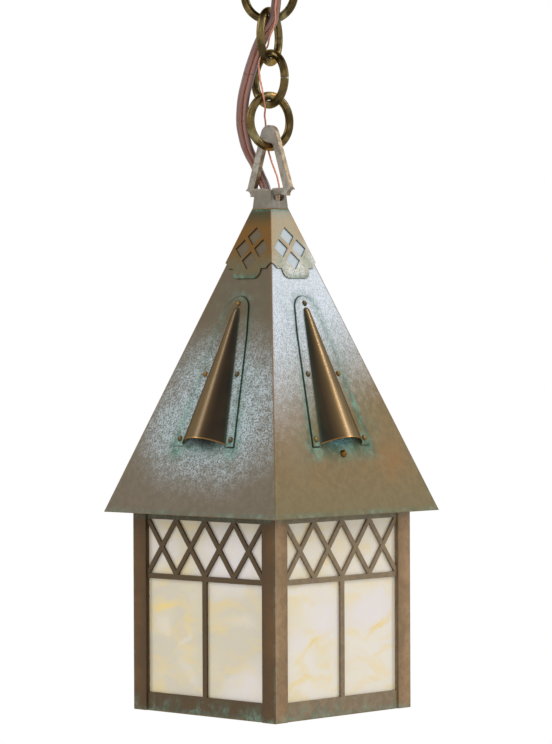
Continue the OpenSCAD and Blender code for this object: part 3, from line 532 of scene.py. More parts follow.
@cache
def roof_patina():
    """Colour of the roof sheet and the flanges on it: brown at the hips and the edge, a mottled silvery bloom low on
    the front faces, partly real and partly a painted reflection of the lamps, a painted reflection high on the side
    faces, verdigris round the flanges, under the mouths and along the edge, and painted shadow under the front mouths
    and round the hoods and flanges."""
    w, into, out = new_group(
        "roof_patina", {"Color": "Brown, Ochre, Silver, Green"}, {"Color": "Colour", "Float": "Rough, Metal, Height"}
    )
    place = w.group(face_places())
    run, up, side, spot = place["Sideways"], place["Up"], place["Side face"], place["Spot"]
    mottle = w.mottled(spot, 1.0)
    half = w.math("ABSOLUTE", run)
    dark = w.fade(mottle["Grain"], 0.1, 0.75)
    blotch = w.fade(mottle["Spots"])

    # A ragged silvery patch low on the front faces: partly the metal's real bloom and partly a painted reflection of
    # the lamps
    front_bloom_and_sheen = w.both(w.blob(run, up, 4, 60, 90, 90), w.step(up, -14, 58))
    front_bloom_and_sheen = w.both(front_bloom_and_sheen, w.level(mottle["Cloud"], 0.75, 1.0))
    front_brown = w.over(into["Brown"], (w.step(up, 70, 150), (94, 80, 58)), (w.both(blotch, 0.3), (88, 78, 62)))
    front_silver = w.over(into["Silver"], (w.both(dark, 0.72), (86, 90, 82)), (w.both(blotch, 0.22), (104, 108, 98)))
    uneven = w.add(w.mul(w.sub(mottle["Grain"], 0.5), 0.24), w.mul(w.sub(mottle["Spots"], 0.5), 0.2))
    ragged = w.step(w.add(front_bloom_and_sheen, w.mul(uneven, w.mul(front_bloom_and_sheen, 1.5))), 0.0, 0.92)
    front = w.mix(ragged, front_brown, front_silver)

    ochre = w.over(
        into["Ochre"], (w.both(blotch, 0.5), (108, 94, 66)),
        (w.both(w.blob(run, up, -44, 62, 26, 52), 0.6), (138, 118, 92)),
        (w.both(w.blob(run, up, 42, 36, 24, 20), w.mul(mottle["Cloud"], 0.6)), (146, 104, 56)),
    )
    # Painted reflection of the lamp on the side faces: from ochre low down to pale blue-white higher up
    side_sheen = w.step(w.add(w.add(up, w.mul(run, -0.28)), w.mul(mottle["Spots"], 10)), 60, 142)
    # Pale blue-white painted reflection of the lamp on the side faces, broken by grey grain, and greyer as painted
    # shade where the cap shades it
    pale = w.over(
        paint(206, 213, 220), (w.both(dark, w.step(up, 90, 190, 0.6, 0.22)), (110, 118, 118)),
        (w.step(up, 163, 172, 0.0, 0.7), (168, 180, 184)),
    )
    low_dark = w.both(w.near(up, 4, 26), w.level(mottle["Spots"], 0.5, 1.0))
    side_mix = w.over(w.mix(side_sheen, ochre, pale), (w.mul(low_dark, 0.5), (112, 108, 78)))

    # Distance out of the flange's outline: straight sides that lean in, a round top and a level foot
    lean = w.add(w.sub(half, FLANGE_FOOT[0]), w.mul(w.sub(up, FLANGE_FOOT[1]), FLANGE_LEAN))
    shoulder = w.add(w.sub(half, SHOULDER[0]), w.mul(w.sub(up, SHOULDER[1]), SHOULDER_LEAN))
    far = w.math("SQRT", w.add(w.mul(run, run), w.math("POWER", w.sub(up, ROUND_TOP), 2.0)))
    outline = w.pick(w.step(up, 137, 140), w.most(lean, shoulder), w.sub(far, ROUND_RADIUS))
    outline = w.most(outline, w.sub(FLANGE_FOOT[1], up))
    low = w.both(w.step(up, 50, 110, 1.0, 0.45), w.pick(side, 0.78, w.step(run, -10, 10, 0.85, 1.3)))
    halo = w.both(w.near(outline, 0.6, 6.5), low)
    mouth = w.both(w.fade(half, 15, 19), w.near(up, 47, 16))
    edge = w.both(w.near(up, 0.0, 5.0), w.level(mottle["Cloud"], 0.25, 0.7))
    hip_low = w.both(w.near(place["To hip"], 0, 3), w.step(up, 0, 60, 1.0, 0.25))
    haze = w.both(w.near(outline, 3, 22), mottle["Cloud"])
    mask = w.most(
        halo, w.mul(w.blob(half, up, 24, 46, 13, 14), 0.9), w.mul(mouth, w.pick(side, 0.35, 0.95)),
        w.mul(edge, 0.8), w.mul(hip_low, 0.5), w.mul(haze, w.pick(side, 0.14, 0.24)),
    )
    crust = w.crusted(w.mix(side, front, side_mix), mask, spot, 0.5, into["Green"])
    # Under each mouth: painted shadow, near black, on the front faces, and verdigris on the side faces
    floor = w.mix(side, paint(24, 30, 24), w.mix(dark, paint(132, 182, 188), paint(64, 108, 108)))
    colour = w.mix(w.mul(w.blob(run, up, 0, 51, 19, 8), 0.85), crust["Colour"], floor)
    # Painted contact shadow: a dark line where the hood meets its flange and round the flange's outline, on the side
    # away from the light
    away = w.pick(side, w.step(run, -2, 2, 0.2, 0.95), w.step(run, -2, 2, 0.95, 0.2))
    foot_shadow_line = w.near(w.sub(half, w.mul(w.sub(HOOD_TIP, up), HOOD_LEAN)), -1.6, 2.2)
    foot_shadow_line = w.both(foot_shadow_line, away, w.step(up, 44, 48), w.fade(up, 132, 140))
    rim_shadow_line = w.both(w.near(outline, 0.2, 0.85), w.most(away, w.step(up, 138, 144, 0.0, 0.8)))
    beside_mouth = w.most(w.step(half, 19, 21), w.step(up, 52, 56))
    # Over the painted shadow lines comes bare copper where the faces meet, and along the edge of the sheet
    colour = w.over(
        colour, (w.mul(foot_shadow_line, 0.8), (42, 52, 42)), (w.both(rim_shadow_line, beside_mouth), (24, 30, 24)),
        (w.both(w.near(place["To hip"], 0, 1.2), 0.85), (122, 84, 48)),
        (w.both(w.near(up, 0.0, 0.9), 0.6), (120, 84, 46)),
    )
    bloom_and_sheen_rough = w.pick(side, w.pick(ragged, 0.5, 0.58), w.pick(side_sheen, 0.55, 0.5))
    w.feed(out, {
        "Colour": colour, "Rough": w.pick(crust["Cover"], bloom_and_sheen_rough, 0.8),
        "Metal": w.pick(crust["Cover"], 0.15, 0.0), "Height": mottle["Height"],
    })
    return w.tree


def weathered(w):
    """The roof's patina in a material, in the colours that are set."""
    metal = bpy.context.scene.lantern_metal
    return w.group(roof_patina(), {
        "Brown": metal.brown[:], "Ochre": metal.ochre[:], "Silver": metal.silver[:], "Green": metal.verdigris[:],
    })


def dress(made, *pieces):
    """Gives pieces, or CAD nodes by their names, one material."""
    for piece in pieces:
        data = (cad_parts[piece] if isinstance(piece, str) else piece).data
        data.materials.clear()
        data.materials.append(made)


def roof_metal():
    w = Finish("weathered_roof")
    patina = weathered(w)
    return w.shade(
        colour=patina["Colour"], rough=patina["Rough"], metal=patina["Metal"],
        normal=w.bump(patina["Height"], 0.00008), gloss=0.2,
    )


def hood_metal():
    """The flange has the roof's patina; the cone is smooth bronze with painted highlight and painted shade across it,
    and its mouth is worn to a bright edge.
    """
    w = Finish("bronze_hood")
    patina = weathered(w)
    place = w.group(face_places())
    mottle = w.mottled(place["Spot"], 0.7)
    side, up = place["Side face"], place["Up"]
    cone = w.step(place["Out"], 0.85, 1.25)
    # Painted light and shade across the cone, from the left to the right: lighter where the lamps glint and darker on
    # the side away from the light
    width = w.step(up, 47, 158, 16.5, 1.5)
    across = w.math("MULTIPLY_ADD", w.math("DIVIDE", place["Sideways"], width), 0.5, 0.5)
    front_light_and_shade = w.ramp(across, (
        (0.0, (88, 78, 56)), (0.3, (104, 90, 66)), (0.47, (92, 76, 54)), (0.62, (66, 52, 34)), (0.78, (44, 34, 23)),
        (1.0, (28, 27, 21)),
    ))
    side_light_and_shade = w.ramp(across, (
        (0.0, (28, 32, 25)), (0.12, (50, 41, 28)), (0.28, (88, 70, 46)), (0.42, (112, 90, 60)),
        (0.55, (116, 98, 72)), (1.0, (108, 100, 80)),
    ))
    bronze = w.mix(side, front_light_and_shade, side_light_and_shade)
    bronze = w.mix(w.mul(mottle["Cloud"], 0.3), bronze, bpy.context.scene.lantern_metal.bronze[:])
    foot_green = w.both(w.near(place["Out"], 0.9, 1.8), w.step(up, 48, 120, 0.7, 0.3))
    mouth = w.both(w.near(w.sub(up, w.mul(place["Out"], 0.15)), 47.0, 1.1), cone)
    bronze = w.over(bronze, (w.mul(foot_green, 0.7), (62, 84, 68)), (w.mul(mouth, 0.8), (150, 112, 62)))
    relief = w.mul(patina["Height"], w.level(cone, 1.0, 0.12))
    return w.shade(
        colour=w.mix(cone, patina["Colour"], bronze), rough=w.pick(cone, patina["Rough"], 0.29),
        metal=w.pick(cone, patina["Metal"], 0.9), normal=w.bump(relief, 0.00008), coat=w.mul(cone, 0.16),
        coat_rough=0.13, gloss=0.2, gloss_tint=(0.5, 0.4, 0.28),
    )


def cap_metal():
    """Golden brown on the front faces, pinkish beige on the sides, green and white bloom towards the foot."""
    w = Finish("weathered_cap")
    place = w.group(face_places())
    mottle = w.mottled(place["Spot"], 1.1)
    spots, down = mottle["Spots"], w.sub(CAP_TOP, place["Up"])
    front = w.over(
        paint(62, 58, 34), (w.step(down, 2, 15), (102, 70, 22)),
        (w.both(w.step(down, 26, 40), w.level(spots, 0.6, 1.0)), (92, 88, 64)),
    )
    bloom = w.step(w.add(down, w.mul(place["Sideways"], 0.4)), 22, 40)
    side = w.over(
        paint(134, 134, 124), (w.step(down, 0, 9), (160, 138, 108)),
        (w.both(bloom, w.level(spots, 0.55, 1.0)), (192, 196, 190)),
        (w.both(w.near(place["To hip"], 8, 9), w.step(down, 8, 40, 0.4, 0.8)), (146, 150, 132)),
    )
    pits = w.both(w.fade(mottle["Grain"], 0.0, 0.25), w.step(down, 20, 46, 0.12, 0.55))
    colour = w.over(w.mix(place["Side face"], front, side), (pits, (84, 86, 70)))
    mask = w.most(w.mul(w.near(down, CAP_DEPTH, 5), 0.6), w.mul(w.near(down, 0, 3), 0.7))
    crust = w.crusted(colour, mask, place["Spot"], 0.42)
    # Painted shade: near black low on the cap's cut edges, where they meet the roof
    colour = w.mix(w.step(place["Out"], 0.35, 0.75), paint(38, 30, 22), crust["Colour"])
    colour = w.over(colour, (w.both(w.near(place["To hip"], 0, 1.0), 0.6), (120, 84, 48)))
    return w.shade(
        colour=colour, rough=crust["Rough"], metal=w.pick(crust["Cover"], 0.2, 0.0),
        normal=w.bump(mottle["Height"], 0.00008), gloss=0.08,
    )


def plain_metal(name, main, other, rough, metallic, size, green=0.0, fleck=0.3):
    """Metal with clouds between two colours, dark flecks and a touch of verdigris in its low spots."""
    w = Finish(name)
    spot = w.object_mm()
    mottle = w.mottled(spot, size)
    colour = w.mix(mottle["Cloud"], main, other)
    colour = w.mix(w.both(w.fade(mottle["Spots"]), fleck), colour, tuple(0.45 * v for v in main))
    mask = w.mul(w.both(mottle["Spots"], mottle["Cloud"]), green)
    crust = w.crusted(colour, mask, spot, rough)
    return w.shade(
        colour=crust["Colour"], rough=w.add(crust["Rough"], w.mul(mottle["Grain"], 0.08)),
        metal=w.pick(crust["Cover"], metallic, 0.0), normal=w.bump(mottle["Height"], 0.00006),
    )


def bail_metal():
    """Grey plate faces, and golden brown on the narrow faces that were sawn."""
    w = Finish("grey_brown_bail")
    spot = w.object_mm()
    mottle = w.mottled(spot, 1.2)
    plate = w.step(w.math("ABSOLUTE", w.apart(spot)[1]), 1.45, 1.78)
    face = w.mix(w.level(mottle["Cloud"], 0.0, 0.7), paint(166, 159, 147), paint(136, 126, 110))
    sawn = w.mix(mottle["Spots"], paint(112, 92, 62), paint(146, 124, 92))
    flecks = w.both(w.fade(mottle["Spots"], 0, 0.7), 0.45)
    return w.shade(
        colour=w.over(w.mix(plate, sawn, face), (flecks, (92, 80, 62))), rough=w.pick(plate, 0.36, 0.46), metal=0.4,
        normal=w.bump(mottle["Height"], 0.00008),
    )


def body_metal(name, shaded_front_tone, lit_side_tone, shaded_front_edge, lit_side_edge):
    """Brown bars of the body: a darker tone on the front faces as painted shade and a lighter one on the side faces as
    painted light, a bright copper cast along the corner in the same two tones, and verdigris along the foot."""
    w = Finish(name)
    place = w.group(face_places())
    mottle = w.mottled(place["Spot"], 0.9)
    side, height, to_hip = place["Side face"], place["Height"], place["To hip"]
    colour = w.mix(side, shaded_front_tone, lit_side_tone)
    warm = w.both(w.near(to_hip, 0, 16), w.level(mottle["Cloud"], 0.4, 1.0))
    colour = w.mix(w.mul(warm, 0.8), colour, w.mix(side, shaded_front_edge, lit_side_edge))
    colour = w.over(colour, (w.both(w.fade(mottle["Spots"]), 0.22), (74, 60, 44)))
    patches = w.step(w.noise(place["Spot"], 0.07, 3.0, 0.6, 0.8), 0.42, 0.62)
    foot = w.most(w.both(w.near(height, 0, 14), patches), w.both(w.near(height, 0, 4.5), 0.6))
    corner = w.both(w.near(to_hip, 0, 2.2), w.level(mottle["Spots"], 0.2, 1.0))
    mask = w.most(w.mul(foot, w.pick(side, 0.6, 0.85)), w.mul(w.near(height, 127, 5), 0.3), w.mul(corner, 0.4))
    crust = w.crusted(colour, mask, place["Spot"], 0.42)
    colour = w.over(
        crust["Colour"], (w.both(w.near(height, 0.3, 0.8), 0.5), (132, 96, 60)),
        (w.both(w.near(to_hip, 0, 0.5), 0.7), (60, 46, 32)),
    )
    return w.shade(
        colour=colour, rough=w.add(crust["Rough"], w.mul(mottle["Grain"], 0.1)),
        metal=w.pick(crust["Cover"], 0.3, 0.0), normal=w.bump(mottle["Height"], 0.00006), gloss=0.3,
    )


# Clouds in a pane, as where, how large and how far turned: sideways, height, half length, half width in mm,
# degrees, strength. The first list is yellow and the second is lilac white.
FRONT_CLOUDS = (
    (
        (-33, 70, 22, 4.5, 6, 1.0), (-15, 61, 3.5, 12, 0, 0.8), (-34, 40, 13, 3, 62, 0.45), (-42, 18, 9, 8, 0, 0.7),
        (12, 56, 14, 5, -14, 0.5), (20, 74, 26, 3.5, -12, 0.55), (14, 25, 18, 2.5, 48, 0.5),
        (-12, 117, 14, 4, -25, 0.6),
        (-26, 97, 10, 4, 0, 0.4), (-24, 46, 16, 2.5, -30, 0.5), (33, 40, 20, 3, 25, 0.35),
    ),
    (
        (37, 13, 44, 21, 27, 0.8), (-41, 58, 9, 6, 0, 0.5), (-8, 78, 12, 3, 0, 0.3), (-16, 28, 16, 5, -50, 0.4),
        (-22, 52, 14, 3, 35, 0.5), (24, 100, 44, 24, 0, 1.0), (-40, 108, 18, 16, 0, 0.8), (34, 62, 16, 8, 0, 0.35),
    ),
)
SIDE_CLOUDS = (
    (
        (36, 59, 19, 2.8, 27, 1.0), (-30, 45, 26, 3, 31, 0.9), (5, 52, 14, 2.5, 8, 0.6), (-36, 22, 20, 3.5, 28, 1.0),
        (28, 36, 30, 3, 18, 0.6), (-15, 98, 6, 5, 0, 0.9), (22, 20, 30, 4, 30, 0.45), (-30, 76, 14, 3, -16, 0.45),
        (30, 78, 22, 2.5, -14, 0.5), (-5, 116, 44, 10, 0, 0.35),
    ),
    (
        (-12, 64, 24, 15, 0, 1.0), (24, 66, 32, 12, 8, 1.0), (-44, 52, 12, 10, 0, 0.9), (10, 30, 34, 3, 24, 0.5),
        (-4, 40, 20, 3, 28, 0.6), (-24, 33, 7, 5, 0, 0.6), (40, 46, 22, 3, 24, 0.6), (8, 100, 20, 5, 20, 0.4),
    ),
)


@cache
def glass_swirl():
    """Bends places on a pane by slow noise, so that the clouds in it have the flow of stirred glass, and gives fine
    wisps."""
    inputs = {"Vector": "Spot", "Float": "Sideways, Height"}
    w, into, out = new_group("glass_swirl", inputs, {"Float": "Across, Rise, Wisps, Veil"})
    flow = w.put("ShaderNodeTexNoise", {"Vector": into["Spot"], "Scale": 0.035, "Detail": 3.0, "Distortion": 0.6})
    pull = w.apart(flow.outputs[1])
    across = w.add(into["Sideways"], w.mul(w.sub(pull[0], 0.5), 34))
    rise = w.add(into["Height"], w.mul(w.sub(pull[1], 0.5), 30))
    bent = w.put("ShaderNodeCombineXYZ", {0: w.mul(across, 0.4), 1: rise, 2: pull[2]}).outputs[0]
    w.feed(out, {
        "Across": across, "Rise": rise, "Wisps": w.step(w.noise(bent, 0.11, 3.0, 0.55, 0.7), 0.46, 0.7),
        "Veil": w.step(w.noise(bent, 0.045, 2.0, 0.5, 0.5), 0.4, 0.66),
    })
    return w.tree


def clouds(w, across, rise, places):
    """Strongest of several turned ovals at each spot."""
    total = None
    for x, y, long, wide, turn, strength in places:
        c, s = math.cos(math.radians(turn)), math.sin(math.radians(turn))
        a = w.sub(w.add(w.mul(across, c), w.mul(rise, s)), x * c + y * s)
        b = w.sub(w.sub(w.mul(rise, c), w.mul(across, s)), y * c - x * s)
        one = w.mul(w.blob(a, b, 0, 0, 1.35 * long, 1.35 * wide), strength)
        total = one if total is None else w.math("SMOOTH_MAX", total, one, 0.25)
    return total


def pane_glass(name, places, seed, milk):
    """Streaky art glass: a cream ground with yellow streaks and lilac white clouds that flow."""
    glass = bpy.context.scene.lantern_glass
    w = Finish(name)
    place = w.group(face_places())
    spot = w.put("ShaderNodeVectorMath", {0: place["Spot"], 1: seed}, operation="ADD").outputs[0]
    swirl = w.group(glass_swirl(), {"Spot": spot, "Sideways": place["Sideways"], "Height": place["Height"]})
    yellow, white = (clouds(w, swirl["Across"], swirl["Rise"], ovals) for ovals in places)
    colour = w.mix(w.both(swirl["Veil"], 0.5), milk, glass.cream[:])
    colour = w.mix(white, colour, glass.white[:])
    colour = w.mix(w.both(swirl["Wisps"], w.level(white, 0.4, 0.1)), colour, glass.honey[:])
    colour = w.mix(w.both(yellow, w.level(swirl["Veil"], 0.55, 0.9)), colour, glass.honey[:])
    relief = w.add(swirl["Veil"], w.mul(swirl["Wisps"], 0.3))
    return w.shade(
        colour=colour, rough=0.16, coat=0.3, coat_rough=0.06, normal=w.bump(relief, 0.0004, 0.2), under=0.15,
        under_reach=(0.004, 0.004, 0.003),
    )


def cord_skin():
    """Clear brown insulation: the copper strands inside show as a faint slanting stripe, and a painted shade darkens
    each conductor.
    """
    w = Finish("cord_insulation")
    around, along, _ = w.uv()
    turn = w.add(w.mul(around, 2 * math.pi * 5), w.mul(along, 2600.0))
    strand = w.step(w.math("SINE", turn), -0.2, 1.0)
    # Painted shade: a dark band along each conductor, darkest on its side away from the other conductor
    painted_shade_band = w.near(w.math("FRACT", w.add(around, 0.5)), 0.5, 0.5)
    skin = bpy.context.scene.lantern_cord.skin[:]
    colour = w.over(skin, (w.both(strand, 0.3), (164, 108, 90)), (w.both(painted_shade_band, 0.85), (38, 19, 17)))
    return w.shade(colour=colour, rough=0.28, coat=0.5, coat_rough=0.12)


def bare_copper():
    """Strands twisted together: stripes that turn round the wire, darker between."""
    w = Finish("bare_copper")
    around, along, _ = w.uv()
    turn = w.add(w.mul(around, 2 * math.pi * 7), w.mul(along, 3500.0))
    strand = w.step(w.math("SINE", turn), -0.9, 0.6)
    colour = w.mix(strand, paint(140, 84, 62), bpy.context.scene.lantern_cord.copper[:])
    return w.shade(colour=colour, rough=0.34, metal=0.85)


def ring_metal(name, main, amber):
    """Olive bronze with amber where rings rub, at the top and foot of each, and dark in between."""
    w = Finish(name)
    turn = w.uv()[1]
    spot = w.object_mm()
    mottle = w.mottled(spot, 1.3)
    tarnish = w.step(w.noise(spot, 0.09, 3.0, 0.5, 0.5), 0.42, 0.6)
    colour = w.mix(tarnish, main, tuple(0.42 * v for v in main))
    worn = w.most(w.near(turn, 0.25, 0.09), w.near(turn, 0.75, 0.09))
    colour = w.mix(w.both(worn, mottle["Cloud"]), colour, amber)
    pale = w.step(w.noise(spot, 0.07, 3.0, 0.55), 0.54, 0.68)
    flecks = w.both(w.fade(mottle["Spots"], 0.0, 0.5), 0.25)
    colour = w.over(colour, (w.mul(pale, 0.55), (164, 160, 118)), (flecks, (40, 32, 18)))
    return w.shade(
        colour=colour, rough=w.pick(pale, w.level(mottle["Cloud"], 0.33, 0.24), 0.42), metal=0.9,
        normal=w.bump(mottle["Height"], 0.00006, 0.25), gloss_tint=(0.7, 0.6, 0.4),
    )


def plastic(name, colour, rough, grain):
    """Moulded plastic with fine pores and slow light clouds."""
    w = Finish(name)
    spot = w.object_mm()
    pores = w.noise(spot, grain, 3.0, 0.6)
    tone = w.mix(w.step(w.noise(spot, 0.08, 3.0), 0.3, 0.7, 0.0, 0.4), colour, tuple(1.6 * v for v in colour))
    return w.shade(colour=tone, rough=w.add(w.mul(pores, 0.1), rough), normal=w.bump(pores, 0.00005, 0.3))


def frosted_glass():
    w = Finish("frosted_bulb")
    frost = w.noise(w.object_mm(), 1.6, 3.0, 0.5)
    return w.shade(
        colour=w.mix(w.step(frost, 0.3, 0.7), paint(238, 234, 226), paint(246, 244, 240)),
        rough=w.add(w.mul(frost, 0.1), 0.24), normal=w.bump(frost, 0.00003, 0.2), under=0.3,
        under_reach=(0.006, 0.006, 0.005),
    )


# ---------------------------------------------------------------- pieces


class LANTERN_OT_camera(bpy.types.Operator):
    """Places the camera level with the roof's edge, looking at the front corner."""

    bl_idname = "lantern.camera"
    bl_label = "Camera"

    def execute(self, context):
        view = context.scene.lantern_view
        a, p, roll = view.turn, view.pitch, view.roll
        right = np.array([math.cos(a), math.sin(a), 0.0])
        back = np.array([math.sin(a), -math.cos(a), 0.0])
        ahead = -back * math.cos(p) + np.array([0, 0, -math.sin(p)])
        above = -back * math.sin(p) + np.array([0, 0, math.cos(p)])
        x_axis = math.cos(roll) * right - math.sin(roll) * above
        y_axis = math.sin(roll) * right + math.cos(roll) * above
        place = view.distance * back + view.aside * right + np.array([0, 0, FOOT + view.height])
        camera = place_object("camera", bpy.data.cameras.new("camera"))
        camera.data.lens = view.lens
        camera.data.sensor_width = 36
        camera.data.clip_end = 100
        aim(camera, x_axis, y_axis, -ahead, place)
        context.scene.camera = camera
        context.scene.view_settings.view_transform = "Standard"
        return {"FINISHED"}


def cut_places(path):
    """Rows where a cord is cut: the last at its height, and the ones before it a link's length apart."""
    run = run_along(path)
    last = run[np.nonzero(path[:, 2] > LAST_CUT)[0][-1]]
    return [int(np.abs(run - (last - k * LINK_LENGTH)).argmin()) for k in (3, 2, 1, 0)]


def hang_cord(name, path, side, radius, node, made, **shape):
    """One limp cord as five tubes, each of which bends across one joint of the chain."""
    cuts = [0, *cut_places(path), len(path) - 1]
    for k in range(5):
        a, b = cuts[k], cuts[k + 1]
        run = path[a : b + 1]
        piece = tube(f"{name}_{k + 1}", run, radius, side[a : b + 1], **shape)
        dress(made, piece)
        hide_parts(node)
        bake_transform(piece)


class LANTERN_OT_cords(bpy.types.Operator):
    """Weaves the twin cord and the bare ground wire down through the rings, the bail and the neck."""

    bl_idname = "lantern.cords"
    bl_label = "Cords"

    def execute(self, context):
        cord = context.scene.lantern_cord
        line = smooth_line(CORD_ROUTE, 1.0)
        path = (line[:, :3] - [0, 0, ROUTE_FOOT]) / 1000
        facing = np.radians(line[:, 3])
        face = np.stack([np.cos(facing), np.sin(facing), 0 * facing], -1)
        across = unit(np.cross(unit(np.gradient(path, axis=0)), face))
        skin = cord_skin()
        for number, sign in ((1, 1), (2, -1)):
            hang_cord(
                f"twin_cord_{number}", path + sign * cord.spread * across, sign * across, cord.conductor / 2,
                f"cord_conductor_{number}", skin, sides=20,
            )
        wire = (smooth_line(GROUND_ROUTE, 0.8) - [0, 0, ROUTE_FOOT]) / 1000
        # Any direction that the wire never runs in, from which its strands are counted
        reference = np.broadcast_to(np.array([0.36, 0.93, 0.05]), wire.shape)
        hang_cord(
            "bare_wire", wire, reference, cord.ground / 2, "ground_wire", bare_copper(), sides=14, ribs=7,
            rib_depth=0.16, twist=900.0,
        )
        return {"FINISHED"}


class LANTERN_OT_rings(bpy.types.Operator):
    """Makes the four chain rings from round wire, each with its saw cut."""

    bl_idname = "lantern.rings"
    bl_label = "Chain rings"

    def execute(self, context):
        ring = context.scene.lantern_ring
        tones = [
            (ring.olive[:], paint(150, 106, 52)), (paint(112, 96, 62), paint(158, 112, 56)),
            (paint(100, 84, 52), paint(150, 102, 50)), (paint(108, 90, 56), paint(150, 104, 52)),
        ]
        for k, node in enumerate(RINGS):
            low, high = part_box(node)
            middle = np.array([0, 0, (low.z + high.z) / 2])
            turn = math.radians(RING_TURNS[k])
            flat = np.array([math.cos(turn), math.sin(turn), 0])
            open_half = ring.saw_cut / 2 / ring.radius
            cut = math.radians(RING_CUT_TURNS[k])
            around = cut + np.linspace(open_half, 2 * math.pi - open_half, 121)
            path = middle + ring.radius * (np.cos(around)[:, None] * flat + np.sin(around)[:, None] * UP)
            obj = tube(f"hammered_ring_{k + 1}", path, ring.wire, path - middle, sides=28)
            layer = obj.data.uv_layers[0].data
            uv = np.zeros(2 * len(layer), np.float32)
            layer.foreach_get("uv", uv)
            uv[1::2] = (uv[1::2] / ring.radius + cut) / (2 * math.pi)
            layer.foreach_set("uv", uv)
            dress(ring_metal(f"olive_ring_{k + 1}", *tones[k]), obj)
            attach(obj, f"ring_{k + 1}")
            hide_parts(node)
        return {"FINISHED"}


class LANTERN_OT_bail(bpy.types.Operator):
    """Rounds the edges of the bail and the neck, and gives them their grey-brown patina."""

    bl_idname = "lantern.bail"
    bl_label = "Bail and neck"

    def execute(self, context):
        width = context.scene.lantern_metal.edge_width
        grey = plain_metal("grey_brown_neck", paint(138, 130, 119), paint(118, 106, 90), 0.45, 0.4, 1.2, 0.25, 0.4)
        pieces = (("hanger_bail", "plate_bail", 1.6, bail_metal()), ("neck", "square_neck", 0.7, grey))
        for node, name, share, finish in pieces:
            piece = softened(node, share * width, name)
            dress(finish, piece)
            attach(piece, "lantern")
            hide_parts(node)
        return {"FINISHED"}


class LANTERN_OT_roof(bpy.types.Operator):
    """Finishes the roof, its pierced cap, the hoods with their flanges, and the rivets."""

    bl_idname = "lantern.roof"
    bl_label = "Roof"

    def execute(self, context):
        metal = context.scene.lantern_metal
        dress(roof_metal(), "roof_shell")
        dress(hood_metal(), *(f"hood_{side}" for side in SIDES))
        cap = softened("roof_cap", 0.7 * metal.edge_width, "pierced_cap")
        dress(cap_metal(), cap)
        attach(cap, "lantern")
        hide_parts("roof_cap")
        worn = plain_metal("worn_rivets", metal.brass[:], paint(58, 40, 18), 0.28, 0.95, 2.0, 0.2, 0.7)
        dress(worn, "hood_rivets", "strap_screws")
        return {"FINISHED"}


class LANTERN_OT_body(bpy.types.Operator):
    """Finishes the corner posts, the lattice panels and the frames of the body."""

    bl_idname = "lantern.body"
    bl_label = "Body"

    def execute(self, context):
        metal = context.scene.lantern_metal
        # Front faces get darker tones as painted shade, side faces lighter ones as painted light
        post = body_metal(
            "copper_posts", metal.dark[:], paint(138, 112, 80), paint(112, 80, 44), paint(172, 140, 104)
        )
        # The panels too: darker front faces as painted shade, lighter side faces as painted light
        panel = body_metal(
            "brown_panels", paint(88, 70, 46), paint(140, 122, 96), paint(96, 76, 52), paint(144, 126, 102)
        )
        pieces = [(f"corner_post_{k}", f"angle_post_{k}", 1.0, post) for k in (1, 2, 3, 4)]
        pieces += [(f"lattice_{side}", f"cut_lattice_{side}", 0.6, panel) for side in SIDES]
        for node, name, share, finish in pieces:
            piece = softened(node, share * metal.edge_width, name)
            dress(finish, piece)
            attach(piece, "lantern")
            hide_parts(node)
        dull = plain_metal("dull_frames", paint(98, 78, 56), paint(84, 70, 52), 0.5, 0.5, 0.9, 0.3)
        dress(dull, "top_frame", "bottom_ledge")
        return {"FINISHED"}


class LANTERN_OT_glass(bpy.types.Operator):
    """Finishes the four panes of milky art glass, each with its own streaks."""

    bl_idname = "lantern.glass"
    bl_label = "Glass"

    def execute(self, context):
        milk = context.scene.lantern_glass.milk[:]
        # Painted light: the side panes get a brighter ground than the front and back panes, which keep the milk
        bright = paint(235, 228, 214)
        panes = (
            ("front", FRONT_CLOUDS, (14, 3, 20), milk), ("right", SIDE_CLOUDS, (-60, 45, 88), bright),
            ("back", FRONT_CLOUDS, (130, -20, 47), milk), ("left", SIDE_CLOUDS, (33, 210, 5), bright),
        )
        for side, places, seed, ground in panes:
            dress(pane_glass(f"streaked_glass_{side}", places, seed, ground), f"glass_{side}")
        return {"FINISHED"}


class LANTERN_OT_lamp(bpy.types.Operator):
    """Finishes the lampholder, the bulb, the strap and the small hardware inside."""

    bl_idname = "lantern.lamp"
    bl_label = "Lamp"

    def execute(self, context):
        brass = plain_metal("plain_brass", paint(184, 150, 88), paint(164, 128, 70), 0.32, 0.95, 1.5)
        dress(brass, "lamp_nipple", "lamp_locknuts", "screw_shell", "centre_contact", "strap_nuts", "canopy_nipple")
        strap = plain_metal("dull_strap", paint(132, 112, 80), paint(108, 92, 66), 0.45, 0.8, 1.0, 0.2)
        dress(strap, "lamp_strap", "glass_clips")
        dress(plastic("black_moulding", paint(38, 35, 32), 0.28, 1.2), "holder_cap", "holder_body")
        dress(plain_metal("green_screw", paint(58, 128, 74), paint(44, 104, 60), 0.35, 0.3, 2.0), "ground_screw")
        dress(frosted_glass(), "bulb")
        return {"FINISHED"}


class LANTERN_OT_ceiling(bpy.types.Operator):
    """Finishes the canopy and the rest of the ceiling fitting."""

    bl_idname = "lantern.ceiling"
    bl_label = "Ceiling fitting"

    def execute(self, context):
        aged = plain_metal("aged_bronze_canopy", paint(110, 88, 60), paint(92, 74, 52), 0.4, 0.85, 0.8, 0.25)
        dress(aged, "canopy", "loop_stem", "collar_nut")
        zinc = plain_metal("zinc_plate", paint(152, 150, 144), paint(132, 130, 124), 0.4, 0.9, 1.0)
        dress(zinc, "ceiling_crossbar", "nipple_locknut")
        dress(plastic("dark_bushing", paint(46, 42, 38), 0.5, 1.0), "cord_bushing")
        return {"FINISHED"}


